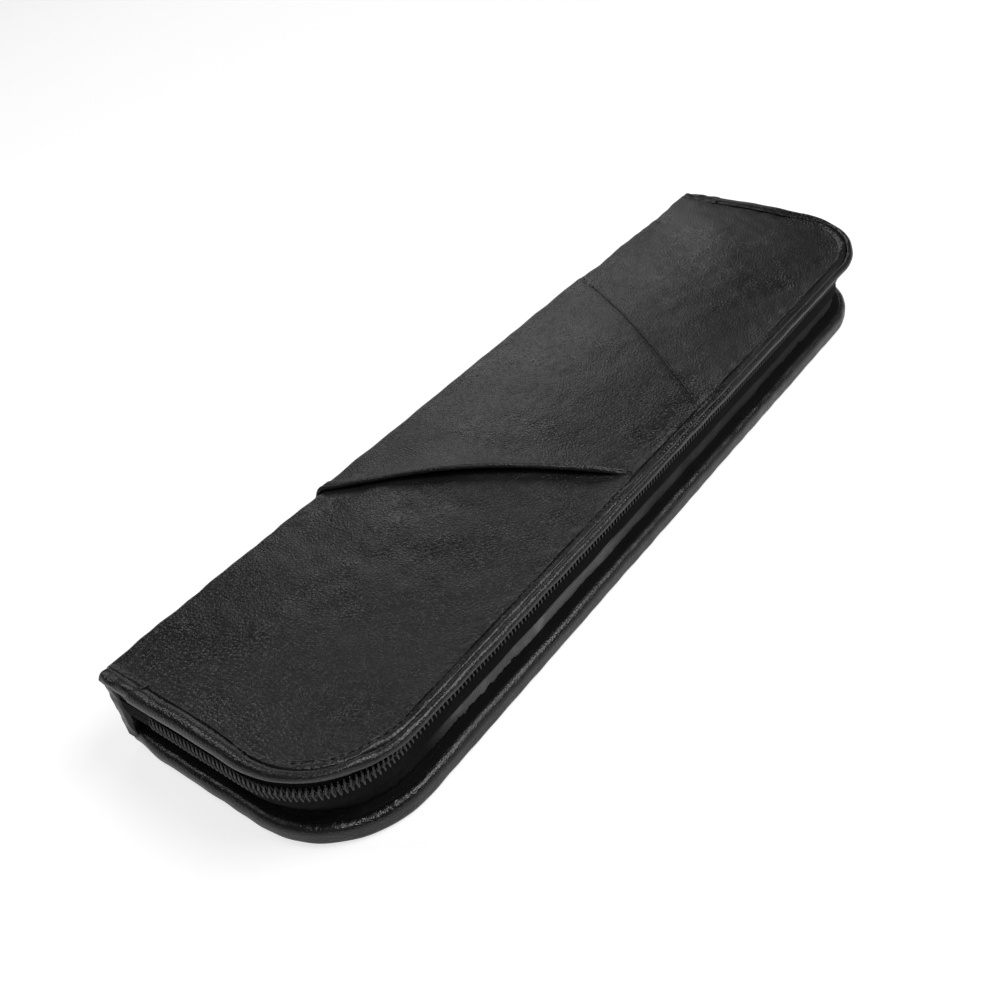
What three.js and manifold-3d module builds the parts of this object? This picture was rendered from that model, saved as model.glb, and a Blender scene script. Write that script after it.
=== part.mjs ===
// A zipped hard case for a chef's knives, shut: a stiff base and a padded lid joined by a folding spine,
// with a fabric wall and a coil zipper round the other three sides. Inside are elastic loops, a pocket
// for the blade tips and a slip pocket; outside, an open pocket panel lies over the middle of the lid.
// Units are millimetres. X runs from the spine (-) to the long zipped side (+), Y from the near short
// end (-) to the far one (+), Z up. The origin is under the middle of the case, on the table.

import * as THREE from "three";
import { mergeVertices } from "three/addons/utils/BufferGeometryUtils.js";
import Module from "manifold-3d";

const wasm = await Module();
wasm.setup();

// Whole case
const caseLength = 480;
const caseWidth = 130;
const caseHeight = 50;
const cornerRadius = 49;

// Clearances
const seatGap = 0.3;
const slideGap = 0.4;
const cutOverrun = 2;
const weldTolerance = 1e-4;

// Layers of a cover, from the outside in
const skinThickness = 1.2;
const foamThickness = 2.4;
const boardThickness = 2;
const liningThickness = 1;
const crownHeight = 1.4;
const spineDrop = 1.8;

// Leather binding round the zipped edge of a cover
const beadRadius = 3.2;
const beadProud = 1.5;
const bindingWidth = 8.2;
const bindingThickness = 1;
const bindingWall = 4.7;
const flangeSink = 0.45;
const grooveAngle = THREE.MathUtils.degToRad(35);
const endBindingLength = 20;
const endBindingSlimming = 0.5;

// Folding spine
const foldRadius = 3;
const spineBoardThickness = 1.6;
const spineBindingReach = 8;
const spineBindingRound = 1.6;

// Fabric wall and coil zipper
const gussetThickness = 1.2;
const tapeThickness = 0.8;
const tapeWidth = 9.7;
const tapeOverlap = 2;
const chainDepth = 17;
const coilThickness = 2.1;
const coilWidth = 3.6;
const toothPitch = 2.4;
const toothReach = 0.5;
const toothRelief = 0.7;
const rowGap = 0.8;
const openRowGap = 1.6;
const lidCoilSetback = 4.8;

// Zip slider
const sliderLength = 14;
const sliderTail = 10;
const sliderPlate = 1.2;
const sliderLip = 1.3;
const sliderRound = 2.4;
const sliderTravel = 42;
const postThickness = 0.9;
const postLength = 2.6;
const postSetback = 0.5;

// Crown of the slider, and the pull that swings on it
const crownLength = 9;
const crownWidth = 2.4;
const crownWall = 0.9;
const crownRound = 1.5;
const pullThickness = 1.5;
const pullLength = 33;
const pullWidth = 7.6;
const pullTipWidth = 6;
const pullHoleLength = 5.6;
const pullEyeRadius = 1.6;

// Outer pocket panel on the lid
const pocketThickness = 0.9;
const hemWidth = 6;
const hemThickness = 0.7;
const mouthGape = 3;
const mouthReach = 26;
const nearSeamSpineShare = -0.435;
const nearSeamBendShare = -0.217;
const nearSeamZipShare = -0.123;
const farSeamSpineShare = 0.48;
const farSeamZipShare = 0.16;
const seamBendShare = 0.28;

// Elastic loops on the base
const elasticWidth = 25;
const elasticThickness = 1.2;
const loopCount = 3;
const loopMargin = 14;
const loopRise = 8.6;
const loopFoot = 3;
const handleLoopsInset = 88;
const bladeLoopsInset = 198;

// Inside pockets
const pocketWall = 1.2;
const pocketFlange = 3;
const tipPocketMargin = 17;
const tipPocketLength = 130;
const tipPocketRise = 7;
const tipPocketInset = 37;
const slipPocketMargin = 19;
const slipPocketLength = 220;
const slipPocketRise = 6;
const slipPocketInset = 48;

// Facets
const cornerSteps = 10;
const shortEdgeSteps = 4;
const beadSteps = 6;
const loopSteps = 12;
const rollSteps = 16;
const teethPerFacet = 2;

// Heights inside a cover, from the lowest point of its bead inwards
const skinTop = beadProud;
const skinUnder = skinTop + skinThickness;
const foamTop = skinUnder + seatGap;
const foamUnder = foamTop + foamThickness;
const boardTop = foamUnder + seatGap;
const boardUnder = boardTop + boardThickness;
const liningTop = boardUnder + seatGap;
const liningUnder = liningTop + liningThickness;
const floorHeight = liningUnder + seatGap;
const bindingHeight = floorHeight + bindingThickness;

// Insets of the upright layers from the case's outline
const stackInset = bindingWall + seatGap;
const gussetInset = bindingWidth + seatGap;
const tapeInset = gussetInset - seatGap - tapeThickness;
const coilInset = tapeInset - seatGap - coilThickness;

// Places across and along the case
const cornerCentreX = caseWidth / 2 - cornerRadius;
const cornerCentreY = caseLength / 2 - cornerRadius;
const spineFaceX = -caseWidth / 2 + bindingThickness + seatGap;
const spineBoardX = spineFaceX + skinThickness + seatGap;
const spineLiningX = spineBoardX + spineBoardThickness + seatGap;
const spineInnerX = spineLiningX + liningThickness;
const foldX = spineFaceX + foldRadius;
const stackSpineX = foldX + foldRadius + seatGap;
const lidBindingStartX = stackSpineX + endBindingLength + seatGap;
const zipStartX = lidBindingStartX;
const openRunEndX = zipStartX + sliderTravel + postLength;
const lidCoilEndX = zipStartX + sliderTail + lidCoilSetback;

// Heights in the case's own frame; the lid sinks towards the spine
const dropAt = (x) => spineDrop * ((caseWidth / 2 - x) / caseWidth) ** 2;
const noDrop = () => 0;
const chainHeight = caseHeight - chainDepth;
const lowerFoldZ = beadProud + foldRadius;
const upperFoldZ = caseHeight - beadProud - dropAt(foldX) - foldRadius;
const spineBottomZ = lowerFoldZ + foldRadius + seatGap;
const spineTopZ = upperFoldZ - foldRadius - seatGap;

// Padding: each layer is a nest of rings that shrink towards a line along the middle of the cover. The
// outermost two lie under the binding's flange. From there the lid swells, and the base steps down flat.
const padHalfWidth = (caseWidth / 2 - stackInset - stackSpineX) / 2;
const padMiddleX = stackSpineX + padHalfWidth;
const padMiddleY = caseLength / 2 - stackInset - padHalfWidth;
const flangeShare = 1 - (gussetInset - stackInset) / padHalfWidth;
const baseFlatShare = 0.87;
const swellShares = [0.8, 0.58, 0.3];
const rimRings = [1, flangeShare].map((share) => ({ share, rise: 0 }));
const baseRings = [...rimRings, { share: baseFlatShare, rise: beadProud }];
const lidRings = [
  ...rimRings,
  ...swellShares.map((share) => ({ share, rise: crownHeight * (1 - (share / flangeShare) ** 2) })),
];

const coverLeather = finish(0x1b1b1d, 0.5);
const bindingLeather = finish(0x1e1e20, 0.4);
const stiffener = finish(0x6b5b47, 0.9);
const foam = finish(0x3a3a3c, 0.95);
const lining = finish(0x2b2b2e, 0.95);
const greyWeb = finish(0x6e6e70, 0.95);
const blackTape = finish(0x19191b, 0.9);
const nylonCoil = finish(0x151517, 0.35);
const elastic = finish(0x202022, 0.9);
const blackMetal = finish(0x2a2a2c, 0.35, 0.9);

function finish(color, roughness, metalness = 0) {
  return new THREE.MeshStandardMaterial({ color, roughness, metalness });
}

function piece(name, geometry, material) {
  const mesh = new THREE.Mesh(geometry, material);
  mesh.name = name;
  return mesh;
}

// A closed triangle mesh, turned so that its faces point out.
function closedGeometry(positions, index) {
  let volume = 0;
  const corner = (i) => new THREE.Vector3().fromArray(positions, index[i] * 3);
  for (let i = 0; i < index.length; i += 3) {
    volume += corner(i).dot(corner(i + 1).cross(corner(i + 2)));
  }
  const geometry = new THREE.BufferGeometry();
  geometry.setAttribute("position", new THREE.Float32BufferAttribute(positions, 3));
  geometry.setIndex(volume < 0 ? index.slice().reverse() : index);
  return geometry;
}

function solidOf(geometry) {
  const bare = geometry.clone();
  bare.deleteAttribute("normal");
  bare.deleteAttribute("uv");
  const merged = mergeVertices(bare, weldTolerance);
  const mesh = new wasm.Mesh({
    numProp: 3,
    vertProperties: merged.attributes.position.array,
    triVerts: new Uint32Array(merged.index.array),
  });
  return new wasm.Manifold(mesh);
}

function geometryOf(solid) {
  const made = solid.getMesh();
  const geometry = new THREE.BufferGeometry();
  geometry.setAttribute("position", new THREE.BufferAttribute(made.vertProperties, 3));
  geometry.setIndex(new THREE.BufferAttribute(made.triVerts, 1));
  return geometry;
}

function joined(...geometries) {
  return geometryOf(geometries.map(solidOf).reduce((whole, next) => whole.add(next)));
}

function cut(geometry, tool) {
  return geometryOf(solidOf(geometry).subtract(solidOf(tool)));
}

// A block between two opposite corners.
function block([x0, y0, z0], [x1, y1, z1]) {
  const geometry = new THREE.BoxGeometry(x1 - x0, y1 - y0, z1 - z0);
  return geometry.translate((x0 + x1) / 2, (y0 + y1) / 2, (z0 + z1) / 2);
}

// A prism over an XY outline, from one height to another.
function plate(outline, bottom, top) {
  const prism = new THREE.ExtrudeGeometry(polygon(outline), { depth: top - bottom, bevelEnabled: false });
  return prism.translate(0, 0, bottom);
}

// A prism whose section is drawn in X and Z, between two places along Y.
function prismAlongY(shape, nearY, farY, curveSegments) {
  const geometry = new THREE.ExtrudeGeometry(shape, {
    depth: farY - nearY,
    bevelEnabled: false,
    curveSegments,
  });
  return geometry.rotateX(Math.PI / 2).translate(0, farY, 0);
}

function polygon(points) {
  return new THREE.Shape(points.map(([x, y]) => new THREE.Vector2(x, y)));
}

// The rim of a cover runs along its near edge, its long zipped edge and its far edge, with round corners.
// A station is a length along it from the middle of the long edge, positive towards the far end.
function rimAt(station, inset) {
  const side = Math.sign(station) || 1;
  const run = Math.abs(station);
  const arc = ((cornerRadius - inset) * Math.PI) / 2;
  if (run <= cornerCentreY) {
    return { x: cornerCentreX, y: side * run, nx: 1, ny: 0 };
  }
  if (run <= cornerCentreY + arc) {
    const angle = (run - cornerCentreY) / (cornerRadius - inset);
    return { x: cornerCentreX, y: side * cornerCentreY, nx: Math.cos(angle), ny: side * Math.sin(angle) };
  }
  return { x: cornerCentreX - (run - cornerCentreY - arc), y: side * cornerCentreY, nx: 0, ny: side };
}

// The station at which a short edge reaches x.
function stationOf(x, inset) {
  return cornerCentreY + ((cornerRadius - inset) * Math.PI) / 2 + cornerCentreX - x;
}

function rimPoint(place, inset) {
  const reach = cornerRadius - inset;
  return [place.x + place.nx * reach, place.y + place.ny * reach];
}

// Places along the rim from endX on the near edge to endX on the far edge.
function rimPlaces(endX) {
  const cornerStart = cornerCentreY;
  const cornerEnd = stationOf(cornerCentreX, 0);
  const last = stationOf(endX, 0);
  const far = [cornerStart / 2];
  for (let i = 0; i <= cornerSteps; i++) {
    far.push(cornerStart + ((cornerEnd - cornerStart) * i) / cornerSteps);
  }
  far.push((cornerEnd + last) / 2, last);
  const near = far.map((station) => -station).reverse();
  return [...near, 0, ...far].map((station) => rimAt(station, 0));
}

// A profile of [inset, height] points carried along places on the rim, with flat ends.
function sweep(places, profileAt) {
  const rings = places.map(profileAt);
  const count = rings[0].length;
  const positions = places.flatMap((place, i) =>
    rings[i].flatMap(([inset, height]) => [...rimPoint(place, inset), height]),
  );
  const index = [];
  for (let i = 0; i + 1 < places.length; i++) {
    for (let j = 0; j < count; j++) {
      const a = i * count + j;
      const b = i * count + ((j + 1) % count);
      index.push(a, b, a + count, b, b + count, a + count);
    }
  }
  const contour = (ring) => ring.map(([inset, height]) => new THREE.Vector2(inset, height));
  const clockwise = THREE.ShapeUtils.isClockWise(contour(rings[0]));
  const close = (i, turned) => {
    for (const [a, b, c] of THREE.ShapeUtils.triangulateShape(contour(rings[i]), [])) {
      const start = i * count;
      index.push(start + a, start + (turned ? c : b), start + (turned ? b : c));
    }
  };
  close(0, !clockwise);
  close(places.length - 1, clockwise);
  return closedGeometry(positions, index);
}

// The plan outline of a layer: straight along the spine, round at the two zipped corners.
function coverOutline(inset, spineX) {
  const radius = cornerRadius - inset;
  const near = [];
  for (let i = 0; i <= shortEdgeSteps; i++) {
    near.push([spineX + ((cornerCentreX - spineX) * i) / shortEdgeSteps, -cornerCentreY - radius]);
  }
  for (let i = 1; i <= cornerSteps; i++) {
    const angle = (Math.PI / 2) * (i / cornerSteps - 1);
    near.push([cornerCentreX + radius * Math.cos(angle), -cornerCentreY + radius * Math.sin(angle)]);
  }
  const far = near.map(([x, y]) => [x, -y]).reverse();
  return [...near, ...far];
}

// A padded layer between its outer face and the face that underAt gives for each outer height.
function paddedLayer(rings, top, drop, underAt) {
  const outline = coverOutline(stackInset, stackSpineX);
  const count = outline.length;
  const outer = rings.flatMap(({ share, rise }) =>
    outline.map(([x, y]) => {
      const coreY = THREE.MathUtils.clamp(y, -padMiddleY, padMiddleY);
      const px = padMiddleX + (x - padMiddleX) * share;
      return [px, coreY + (y - coreY) * share, top + drop(px) - rise];
    }),
  );
  const inner = outer.map(([x, y, z]) => [x, y, underAt(z)]);
  const index = [];
  const band = (start, other) => {
    for (let j = 0; j < count; j++) {
      const next = (j + 1) % count;
      index.push(start + j, start + next, other + j, start + next, other + next, other + j);
    }
  };
  const half = outer.length;
  const inmost = half - count;
  for (let r = 0; r < inmost; r += count) {
    band(r, r + count);
    band(half + r + count, half + r);
  }
  band(half, 0);
  for (let j = 1; j + 1 < count; j++) {
    index.push(inmost, inmost + j, inmost + j + 1);
    index.push(half + inmost, half + inmost + j + 1, half + inmost + j);
  }
  return closedGeometry([...outer, ...inner].flat(), index);
}

// The binding's section: an outer flange on the skin, a groove, a round bead over the cover's edge and an
// inner flange on the lining. A slimmer one has its bead thinned about the same middle.
function bindingProfile(drop, slimming) {
  const radius = beadRadius - slimming / 2;
  const upperZ = beadRadius + drop;
  const lowerZ = bindingHeight - radius;
  const flangeTop = drop + flangeSink;
  const flangeUnder = drop + skinTop - seatGap;
  const profile = [
    [bindingWidth, flangeTop],
    [beadRadius + radius * Math.sin(grooveAngle) + flangeSink, flangeTop],
  ];
  for (let i = 0; i <= beadSteps; i++) {
    const angle = grooveAngle - ((grooveAngle + Math.PI / 2) * i) / beadSteps;
    profile.push([beadRadius + radius * Math.sin(angle), upperZ - radius * Math.cos(angle)]);
  }
  for (let i = 0; i <= beadSteps; i++) {
    const angle = ((Math.PI / 2) * i) / beadSteps;
    profile.push([beadRadius - radius * Math.cos(angle), lowerZ + radius * Math.sin(angle)]);
  }
  profile.push([bindingWidth, bindingHeight], [bindingWidth, floorHeight]);
  profile.push([bindingWall, floorHeight], [bindingWall, flangeUnder], [bindingWidth, flangeUnder]);
  return profile;
}

function binding(startX, drop) {
  return sweep(rimPlaces(startX), (place) => {
    const [x] = rimPoint(place, stackInset);
    return bindingProfile(drop(x), 0);
  });
}

// The short, slimmer binding between the spine and one end of the lid's main binding.
function endBinding(side) {
  const places = [stackSpineX, stackSpineX + endBindingLength].map((x) => ({
    x,
    y: side * cornerCentreY,
    nx: 0,
    ny: side,
  }));
  return sweep(places, (place) => bindingProfile(dropAt(place.x), endBindingSlimming));
}

// An upright strip that follows the rim.
function wall(inset, thickness, bottom, top) {
  return sweep(rimPlaces(stackSpineX), () => [
    [inset, bottom],
    [inset + thickness, bottom],
    [inset + thickness, top],
    [inset, top],
  ]);
}

// One row of the coil zipper: a strip along the rim whose edge at the chain line is a zigzag of teeth that
// nest in those of the other row. The row's back edge has one facet for every few teeth. Along the
// slider's run, on the short edge at openSide, the rows stand apart and the slider's post passes between.
function zipRow({ line, phase, nearX, farX, openSide }) {
  const step = toothPitch / 2;
  const perFacet = 2 * teethPerFacet;
  const first = -Math.floor(stationOf(nearX, coilInset) / step);
  const facets = Math.floor((Math.floor(stationOf(farX, coilInset) / step) - first) / perFacet);
  const count = facets * perFacet;
  const positions = [];
  for (let k = 0; k <= count; k++) {
    const place = rimAt((first + k) * step, coilInset);
    const crest = (first + k + phase) % 2 === 0;
    const open = place.ny === openSide && place.x < openRunEndX;
    const tip = line - (open ? openRowGap / 2 : rowGap / 2 - (crest ? toothReach : -toothReach));
    positions.push(...rimPoint(place, coilInset + (crest ? 0 : toothRelief)), tip);
    positions.push(...rimPoint(place, coilInset + coilThickness), tip);
  }
  const tips = 2 * (count + 1);
  for (let m = 0; m <= facets; m++) {
    const place = rimAt((first + m * perFacet) * step, coilInset);
    positions.push(...rimPoint(place, coilInset), line - coilWidth);
    positions.push(...rimPoint(place, coilInset + coilThickness), line - coilWidth);
  }
  const index = [];
  const quad = (a, b, c, d) => index.push(a, b, c, a, c, d);
  for (let k = 0; k < count; k++) {
    quad(2 * k, 2 * k + 1, 2 * k + 3, 2 * k + 2);
  }
  for (let m = 0; m < facets; m++) {
    const root = tips + 2 * m;
    const start = m * perFacet;
    const middle = start + perFacet / 2;
    quad(root + 1, root, root + 2, root + 3);
    for (let k = start; k < start + perFacet; k++) {
      const near = k < middle ? root : root + 2;
      index.push(near, 2 * k, 2 * k + 2, near + 1, 2 * k + 3, 2 * k + 1);
    }
    index.push(root, 2 * middle, root + 2, root + 1, root + 3, 2 * middle + 1);
  }
  quad(tips, tips + 1, 1, 0);
  quad(2 * count, 2 * count + 1, tips + 2 * facets + 1, tips + 2 * facets);
  return closedGeometry(positions, index);
}

// A band of elastic sewn down between its loops. Its inset is from the case's near end.
function elasticLoops(inset) {
  const shape = new THREE.Shape();
  const half = caseWidth / 2 - loopMargin;
  const pitch = (2 * half - loopFoot) / loopCount;
  const loopSpan = pitch - loopFoot;
  const centres = Array.from({ length: loopCount }, (_, i) => (i - (loopCount - 1) / 2) * pitch);
  const innerHalf = loopSpan / 2 - elasticThickness;
  shape.moveTo(-half, 0);
  shape.lineTo(-half, elasticThickness);
  for (const x of centres) {
    shape.lineTo(x - loopSpan / 2, elasticThickness);
    shape.absellipse(x, elasticThickness, loopSpan / 2, loopRise, Math.PI, 0, true);
  }
  shape.lineTo(half, elasticThickness);
  shape.lineTo(half, 0);
  for (const x of centres.reverse()) {
    shape.lineTo(x + innerHalf, 0);
    shape.absellipse(x, 0, innerHalf, loopRise, 0, Math.PI, false);
  }
  const nearY = inset - (caseLength + elasticWidth) / 2;
  return prismAlongY(shape, nearY, nearY + elasticWidth, loopSteps).translate(0, 0, floorHeight);
}

// A flat pocket sewn down on three sides, with its mouth towards -Y. Its margin is from the case's sides,
// its inset from the case's far end.
function insidePocket({ margin, length, rise, inset }) {
  const half = caseWidth / 2 - margin;
  const endY = caseLength / 2 - inset;
  const hood = (reach, foot, height) =>
    polygon([
      [-reach, foot],
      [reach, foot],
      [reach - height / 2, height],
      [-reach + height / 2, height],
    ]);
  const mouthY = endY - length;
  const flangeHalf = half + pocketFlange;
  const outer = prismAlongY(hood(half, 0, rise), mouthY, endY);
  const flange = block([-flangeHalf, mouthY, 0], [flangeHalf, endY + pocketFlange, pocketWall]);
  const hollow = hood(half - pocketWall, -cutOverrun, rise - pocketWall);
  const room = prismAlongY(hollow, mouthY - cutOverrun, endY - pocketWall);
  return cut(joined(outer, flange), room).translate(0, 0, floorHeight);
}

// The outer pocket panel follows the lid's swell just above the skin, between two slanting seams, and has
// a folded hem along each. Its near edge gapes in the middle.
function pocketPanel() {
  const half = caseLength / 2;
  const spineX = stackSpineX;
  const zipX = caseWidth / 2 - gussetInset;
  const nearSeam = new THREE.QuadraticBezierCurve(
    new THREE.Vector2(spineX, nearSeamSpineShare * half),
    new THREE.Vector2(seamBendShare * caseWidth / 2, nearSeamBendShare * half),
    new THREE.Vector2(zipX, nearSeamZipShare * half),
  );
  const rings = [...lidRings].reverse();
  const columns = [...lidRings.map((ring) => ({ ...ring, share: -ring.share })), ...rings.slice(0, -1)];
  const positions = [];
  const under = [];
  for (const { share, rise } of columns) {
    const x = padMiddleX + padHalfWidth * share;
    const across = (x - spineX) / (zipX - spineX);
    const nearY = seamYAt(nearSeam, x);
    const farY = half * THREE.MathUtils.lerp(farSeamSpineShare, farSeamZipShare, across);
    const length = farY - nearY;
    const rows = [0, hemWidth, hemWidth + hemThickness, mouthReach / 2, mouthReach];
    rows.push(length - hemWidth - hemThickness, length - hemWidth, length);
    for (const run of rows) {
      const hem = run <= hemWidth || run >= length - hemWidth ? hemThickness : 0;
      const fade = Math.max(0, 1 - run / mouthReach) ** 2;
      const gape = mouthGape * fade * Math.sin(Math.PI * THREE.MathUtils.clamp(across, 0, 1));
      const low = skinTop + dropAt(x) - rise - gape - seatGap;
      positions.push([x, -(nearY + run), low - pocketThickness - hem]);
      under.push([x, -(nearY + run), low]);
    }
  }
  return sheetGeometry(positions, under, columns.length);
}

// The place along Y at which a seam crosses x, found by halving.
function seamYAt(curve, x) {
  let low = 0;
  let high = 1;
  while (curve.getPoint(high).x - curve.getPoint(low).x > weldTolerance) {
    const middle = (low + high) / 2;
    if (curve.getPoint(middle).x < x) low = middle;
    else high = middle;
  }
  return curve.getPoint(low).y;
}

// A closed sheet between two grids of points with the same rows and columns.
function sheetGeometry(top, under, columnCount) {
  const rowCount = top.length / columnCount;
  const half = top.length;
  const index = [];
  const quad = (a, b, c, d) => index.push(a, b, c, a, c, d);
  for (let i = 0; i + 1 < columnCount; i++) {
    for (let j = 0; j + 1 < rowCount; j++) {
      const a = i * rowCount + j;
      quad(a, a + 1, a + rowCount + 1, a + rowCount);
      quad(half + a, half + a + rowCount, half + a + rowCount + 1, half + a + 1);
    }
    const near = i * rowCount;
    const far = near + rowCount - 1;
    quad(near, near + rowCount, half + near + rowCount, half + near);
    quad(far + rowCount, far, half + far, half + far + rowCount);
  }
  const last = half - rowCount;
  for (let j = 0; j + 1 < rowCount; j++) {
    quad(j + 1, j, half + j, half + j + 1);
    quad(last + j, last + j + 1, half + last + j + 1, half + last + j);
  }
  return closedGeometry([...top, ...under].flat(), index);
}

// The flat and padded layers that both covers have, in a frame whose Z runs inwards from the outer face.
function coverLayers(prefix, rings, drop, bindingStartX) {
  const outline = coverOutline(stackInset, stackSpineX);
  const skin = paddedLayer(rings, skinTop, drop, (z) => z + skinThickness);
  const padding = paddedLayer(rings, foamTop, drop, () => foamUnder);
  return [
    piece(`${prefix}_skin`, skin, coverLeather),
    piece(`${prefix}_foam`, padding, foam),
    piece(`${prefix}_board`, plate(outline, boardTop, boardUnder), stiffener),
    piece(`${prefix}_lining`, plate(outline, liningTop, liningUnder), lining),
    piece(`${prefix}_binding`, binding(bindingStartX, drop), bindingLeather),
  ];
}

// The outer leather rolled round a fold of the spine.
function foldRoll(z) {
  const roll = new THREE.CylinderGeometry(
    foldRadius,
    foldRadius,
    caseLength - 2 * bindingThickness,
    rollSteps,
  );
  return roll.translate(foldX, 0, z);
}

function base() {
  const group = new THREE.Group();
  const tapeTop = chainHeight - openRowGap / 2;
  const tapeBottom = tapeTop - tapeWidth;
  const row = { line: chainHeight, phase: 0, nearX: zipStartX, farX: zipStartX, openSide: 1 };
  const tips = insidePocket({
    margin: tipPocketMargin,
    length: tipPocketLength,
    rise: tipPocketRise,
    inset: tipPocketInset,
  });
  const gusset = wall(gussetInset, gussetThickness, floorHeight, tapeBottom + tapeOverlap);
  group.add(
    ...coverLayers("base", baseRings, noDrop, stackSpineX),
    piece("lower_fold", foldRoll(lowerFoldZ), coverLeather),
    piece("base_gusset", gusset, greyWeb),
    piece("base_zip_tape", wall(tapeInset, tapeThickness, tapeBottom, tapeTop), blackTape),
    piece("base_zip_coil", zipRow(row), nylonCoil),
    piece("handle_loops", elasticLoops(handleLoopsInset), elastic),
    piece("blade_loops", elasticLoops(bladeLoopsInset), elastic),
    piece("tip_pocket", tips, lining),
  );
  return group;
}

// The lid is built like the base and turned over about X, so in its own frame its near end is the case's
// far end.
function lid() {
  const group = new THREE.Group();
  const tapeTop = chainDepth - openRowGap / 2;
  const tape = wall(tapeInset, tapeThickness, bindingHeight + seatGap, tapeTop);
  const row = { line: chainDepth, phase: 1, nearX: lidCoilEndX, farX: zipStartX, openSide: -1 };
  const slip = insidePocket({
    margin: slipPocketMargin,
    length: slipPocketLength,
    rise: slipPocketRise,
    inset: slipPocketInset,
  });
  group.add(
    ...coverLayers("lid", lidRings, dropAt, lidBindingStartX),
    piece("lid_end_binding_near", endBinding(1), bindingLeather),
    piece("lid_end_binding_far", endBinding(-1), bindingLeather),
    piece("upper_fold", foldRoll(caseHeight - upperFoldZ), coverLeather),
    piece("pocket_panel", pocketPanel(), coverLeather),
    piece("lid_zip_tape", tape, blackTape),
    piece("lid_zip_coil", zipRow(row), nylonCoil),
    piece("lid_slip_pocket", slip, lining),
  );
  group.rotation.x = Math.PI;
  group.position.z = caseHeight;
  return group;
}

// One of the bindings that close the ends of the spine: a channel over its skin, board and lining.
function spineEndBinding(side) {
  const outerX = -caseWidth / 2;
  const innerX = spineInnerX + seatGap + bindingThickness;
  const endY = caseLength / 2 - bindingThickness;
  const reachY = endY - spineBindingReach;
  const mouthY = endY - bindingThickness;
  const round = spineBindingRound;
  const shape = new THREE.Shape();
  shape.moveTo(outerX, reachY);
  shape.lineTo(outerX, endY - round);
  shape.absarc(outerX + round, endY - round, round, Math.PI, Math.PI / 2, true);
  shape.lineTo(innerX - round, endY);
  shape.absarc(innerX - round, endY - round, round, Math.PI / 2, 0, true);
  shape.lineTo(innerX, reachY);
  shape.lineTo(innerX - bindingThickness, reachY);
  shape.lineTo(innerX - bindingThickness, mouthY);
  shape.lineTo(outerX + bindingThickness, mouthY);
  shape.lineTo(outerX + bindingThickness, reachY);
  const height = spineTopZ - spineBottomZ;
  const geometry = new THREE.ExtrudeGeometry(shape, {
    depth: height,
    bevelEnabled: false,
    curveSegments: beadSteps,
  });
  if (side < 0) geometry.rotateX(Math.PI).translate(0, 0, height);
  return geometry.translate(0, 0, spineBottomZ);
}

function spine() {
  const group = new THREE.Group();
  const endY = caseLength / 2 - 2 * bindingThickness - seatGap;
  const layer = (x, thickness) => block([x, -endY, spineBottomZ], [x + thickness, endY, spineTopZ]);
  group.add(
    piece("spine_skin", layer(spineFaceX, skinThickness), coverLeather),
    piece("spine_board", layer(spineBoardX, spineBoardThickness), stiffener),
    piece("spine_lining", layer(spineLiningX, liningThickness), lining),
    piece("spine_end_binding_near", spineEndBinding(-1), bindingLeather),
    piece("spine_end_binding_far", spineEndBinding(1), bindingLeather),
  );
  return group;
}

// The slider's own frame has its origin on the case's far outline at the chain line, under its middle.
const plateFace = slideGap - coilInset;
const plateOuterFace = plateFace + sliderPlate;
const backFace = -(tapeInset + tapeThickness + slideGap);
const lipStart = coilWidth + slideGap;
const crownClear = pullThickness + 2 * slideGap;

// A rounded plate standing in X and Z, between two depths.
function sliderPlateSolid(halfLength, halfHeight, backY, frontY) {
  const shape = new THREE.Shape();
  const [x, z] = [halfLength - sliderRound, halfHeight - sliderRound];
  shape.absarc(x, z, sliderRound, 0, Math.PI / 2, false);
  shape.absarc(-x, z, sliderRound, Math.PI / 2, Math.PI, false);
  shape.absarc(-x, -z, sliderRound, Math.PI, Math.PI * 1.5, false);
  shape.absarc(x, -z, sliderRound, Math.PI * 1.5, Math.PI * 2, false);
  return prismAlongY(shape, backY, frontY, beadSteps);
}

// The bridge on the slider's face that holds the pull's bar.
function crownBridge() {
  const half = crownLength / 2;
  const foot = plateOuterFace - sliderPlate / 2;
  const top = plateOuterFace + crownClear + crownWall;
  const shape = new THREE.Shape();
  shape.moveTo(-half, foot);
  shape.lineTo(-half + crownWall, foot);
  shape.lineTo(-half + crownWall, top - crownWall);
  shape.lineTo(half - crownWall, top - crownWall);
  shape.lineTo(half - crownWall, foot);
  shape.lineTo(half, foot);
  shape.absarc(half - crownRound, top - crownRound, crownRound, 0, Math.PI / 2, false);
  shape.absarc(-half + crownRound, top - crownRound, crownRound, Math.PI / 2, Math.PI, false);
  const geometry = new THREE.ExtrudeGeometry(shape, {
    depth: crownWidth,
    bevelEnabled: false,
    curveSegments: beadSteps,
  });
  return geometry.translate(0, 0, -crownWidth / 2);
}

function sliderBody() {
  const halfLength = sliderLength / 2;
  const halfHeight = lipStart + sliderLip;
  const middleOfFront = (plateFace + plateOuterFace) / 2;
  const lipReach = slideGap - tapeInset;
  const lipHalf = halfLength - sliderRound;
  const postX = postSetback - halfLength + sliderRound / 2;
  const lip = (bottom) =>
    block([-lipHalf, lipReach, bottom], [lipHalf, middleOfFront, bottom + sliderLip]);
  const post = block(
    [postX, backFace - sliderPlate / 2, -postThickness / 2],
    [postX + postLength, middleOfFront, postThickness / 2],
  );
  return joined(
    sliderPlateSolid(halfLength, halfHeight, plateFace, plateOuterFace),
    sliderPlateSolid(halfLength, halfHeight, backFace - sliderPlate, backFace),
    lip(lipStart),
    lip(-lipStart - sliderLip),
    post,
    crownBridge(),
  );
}

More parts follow.
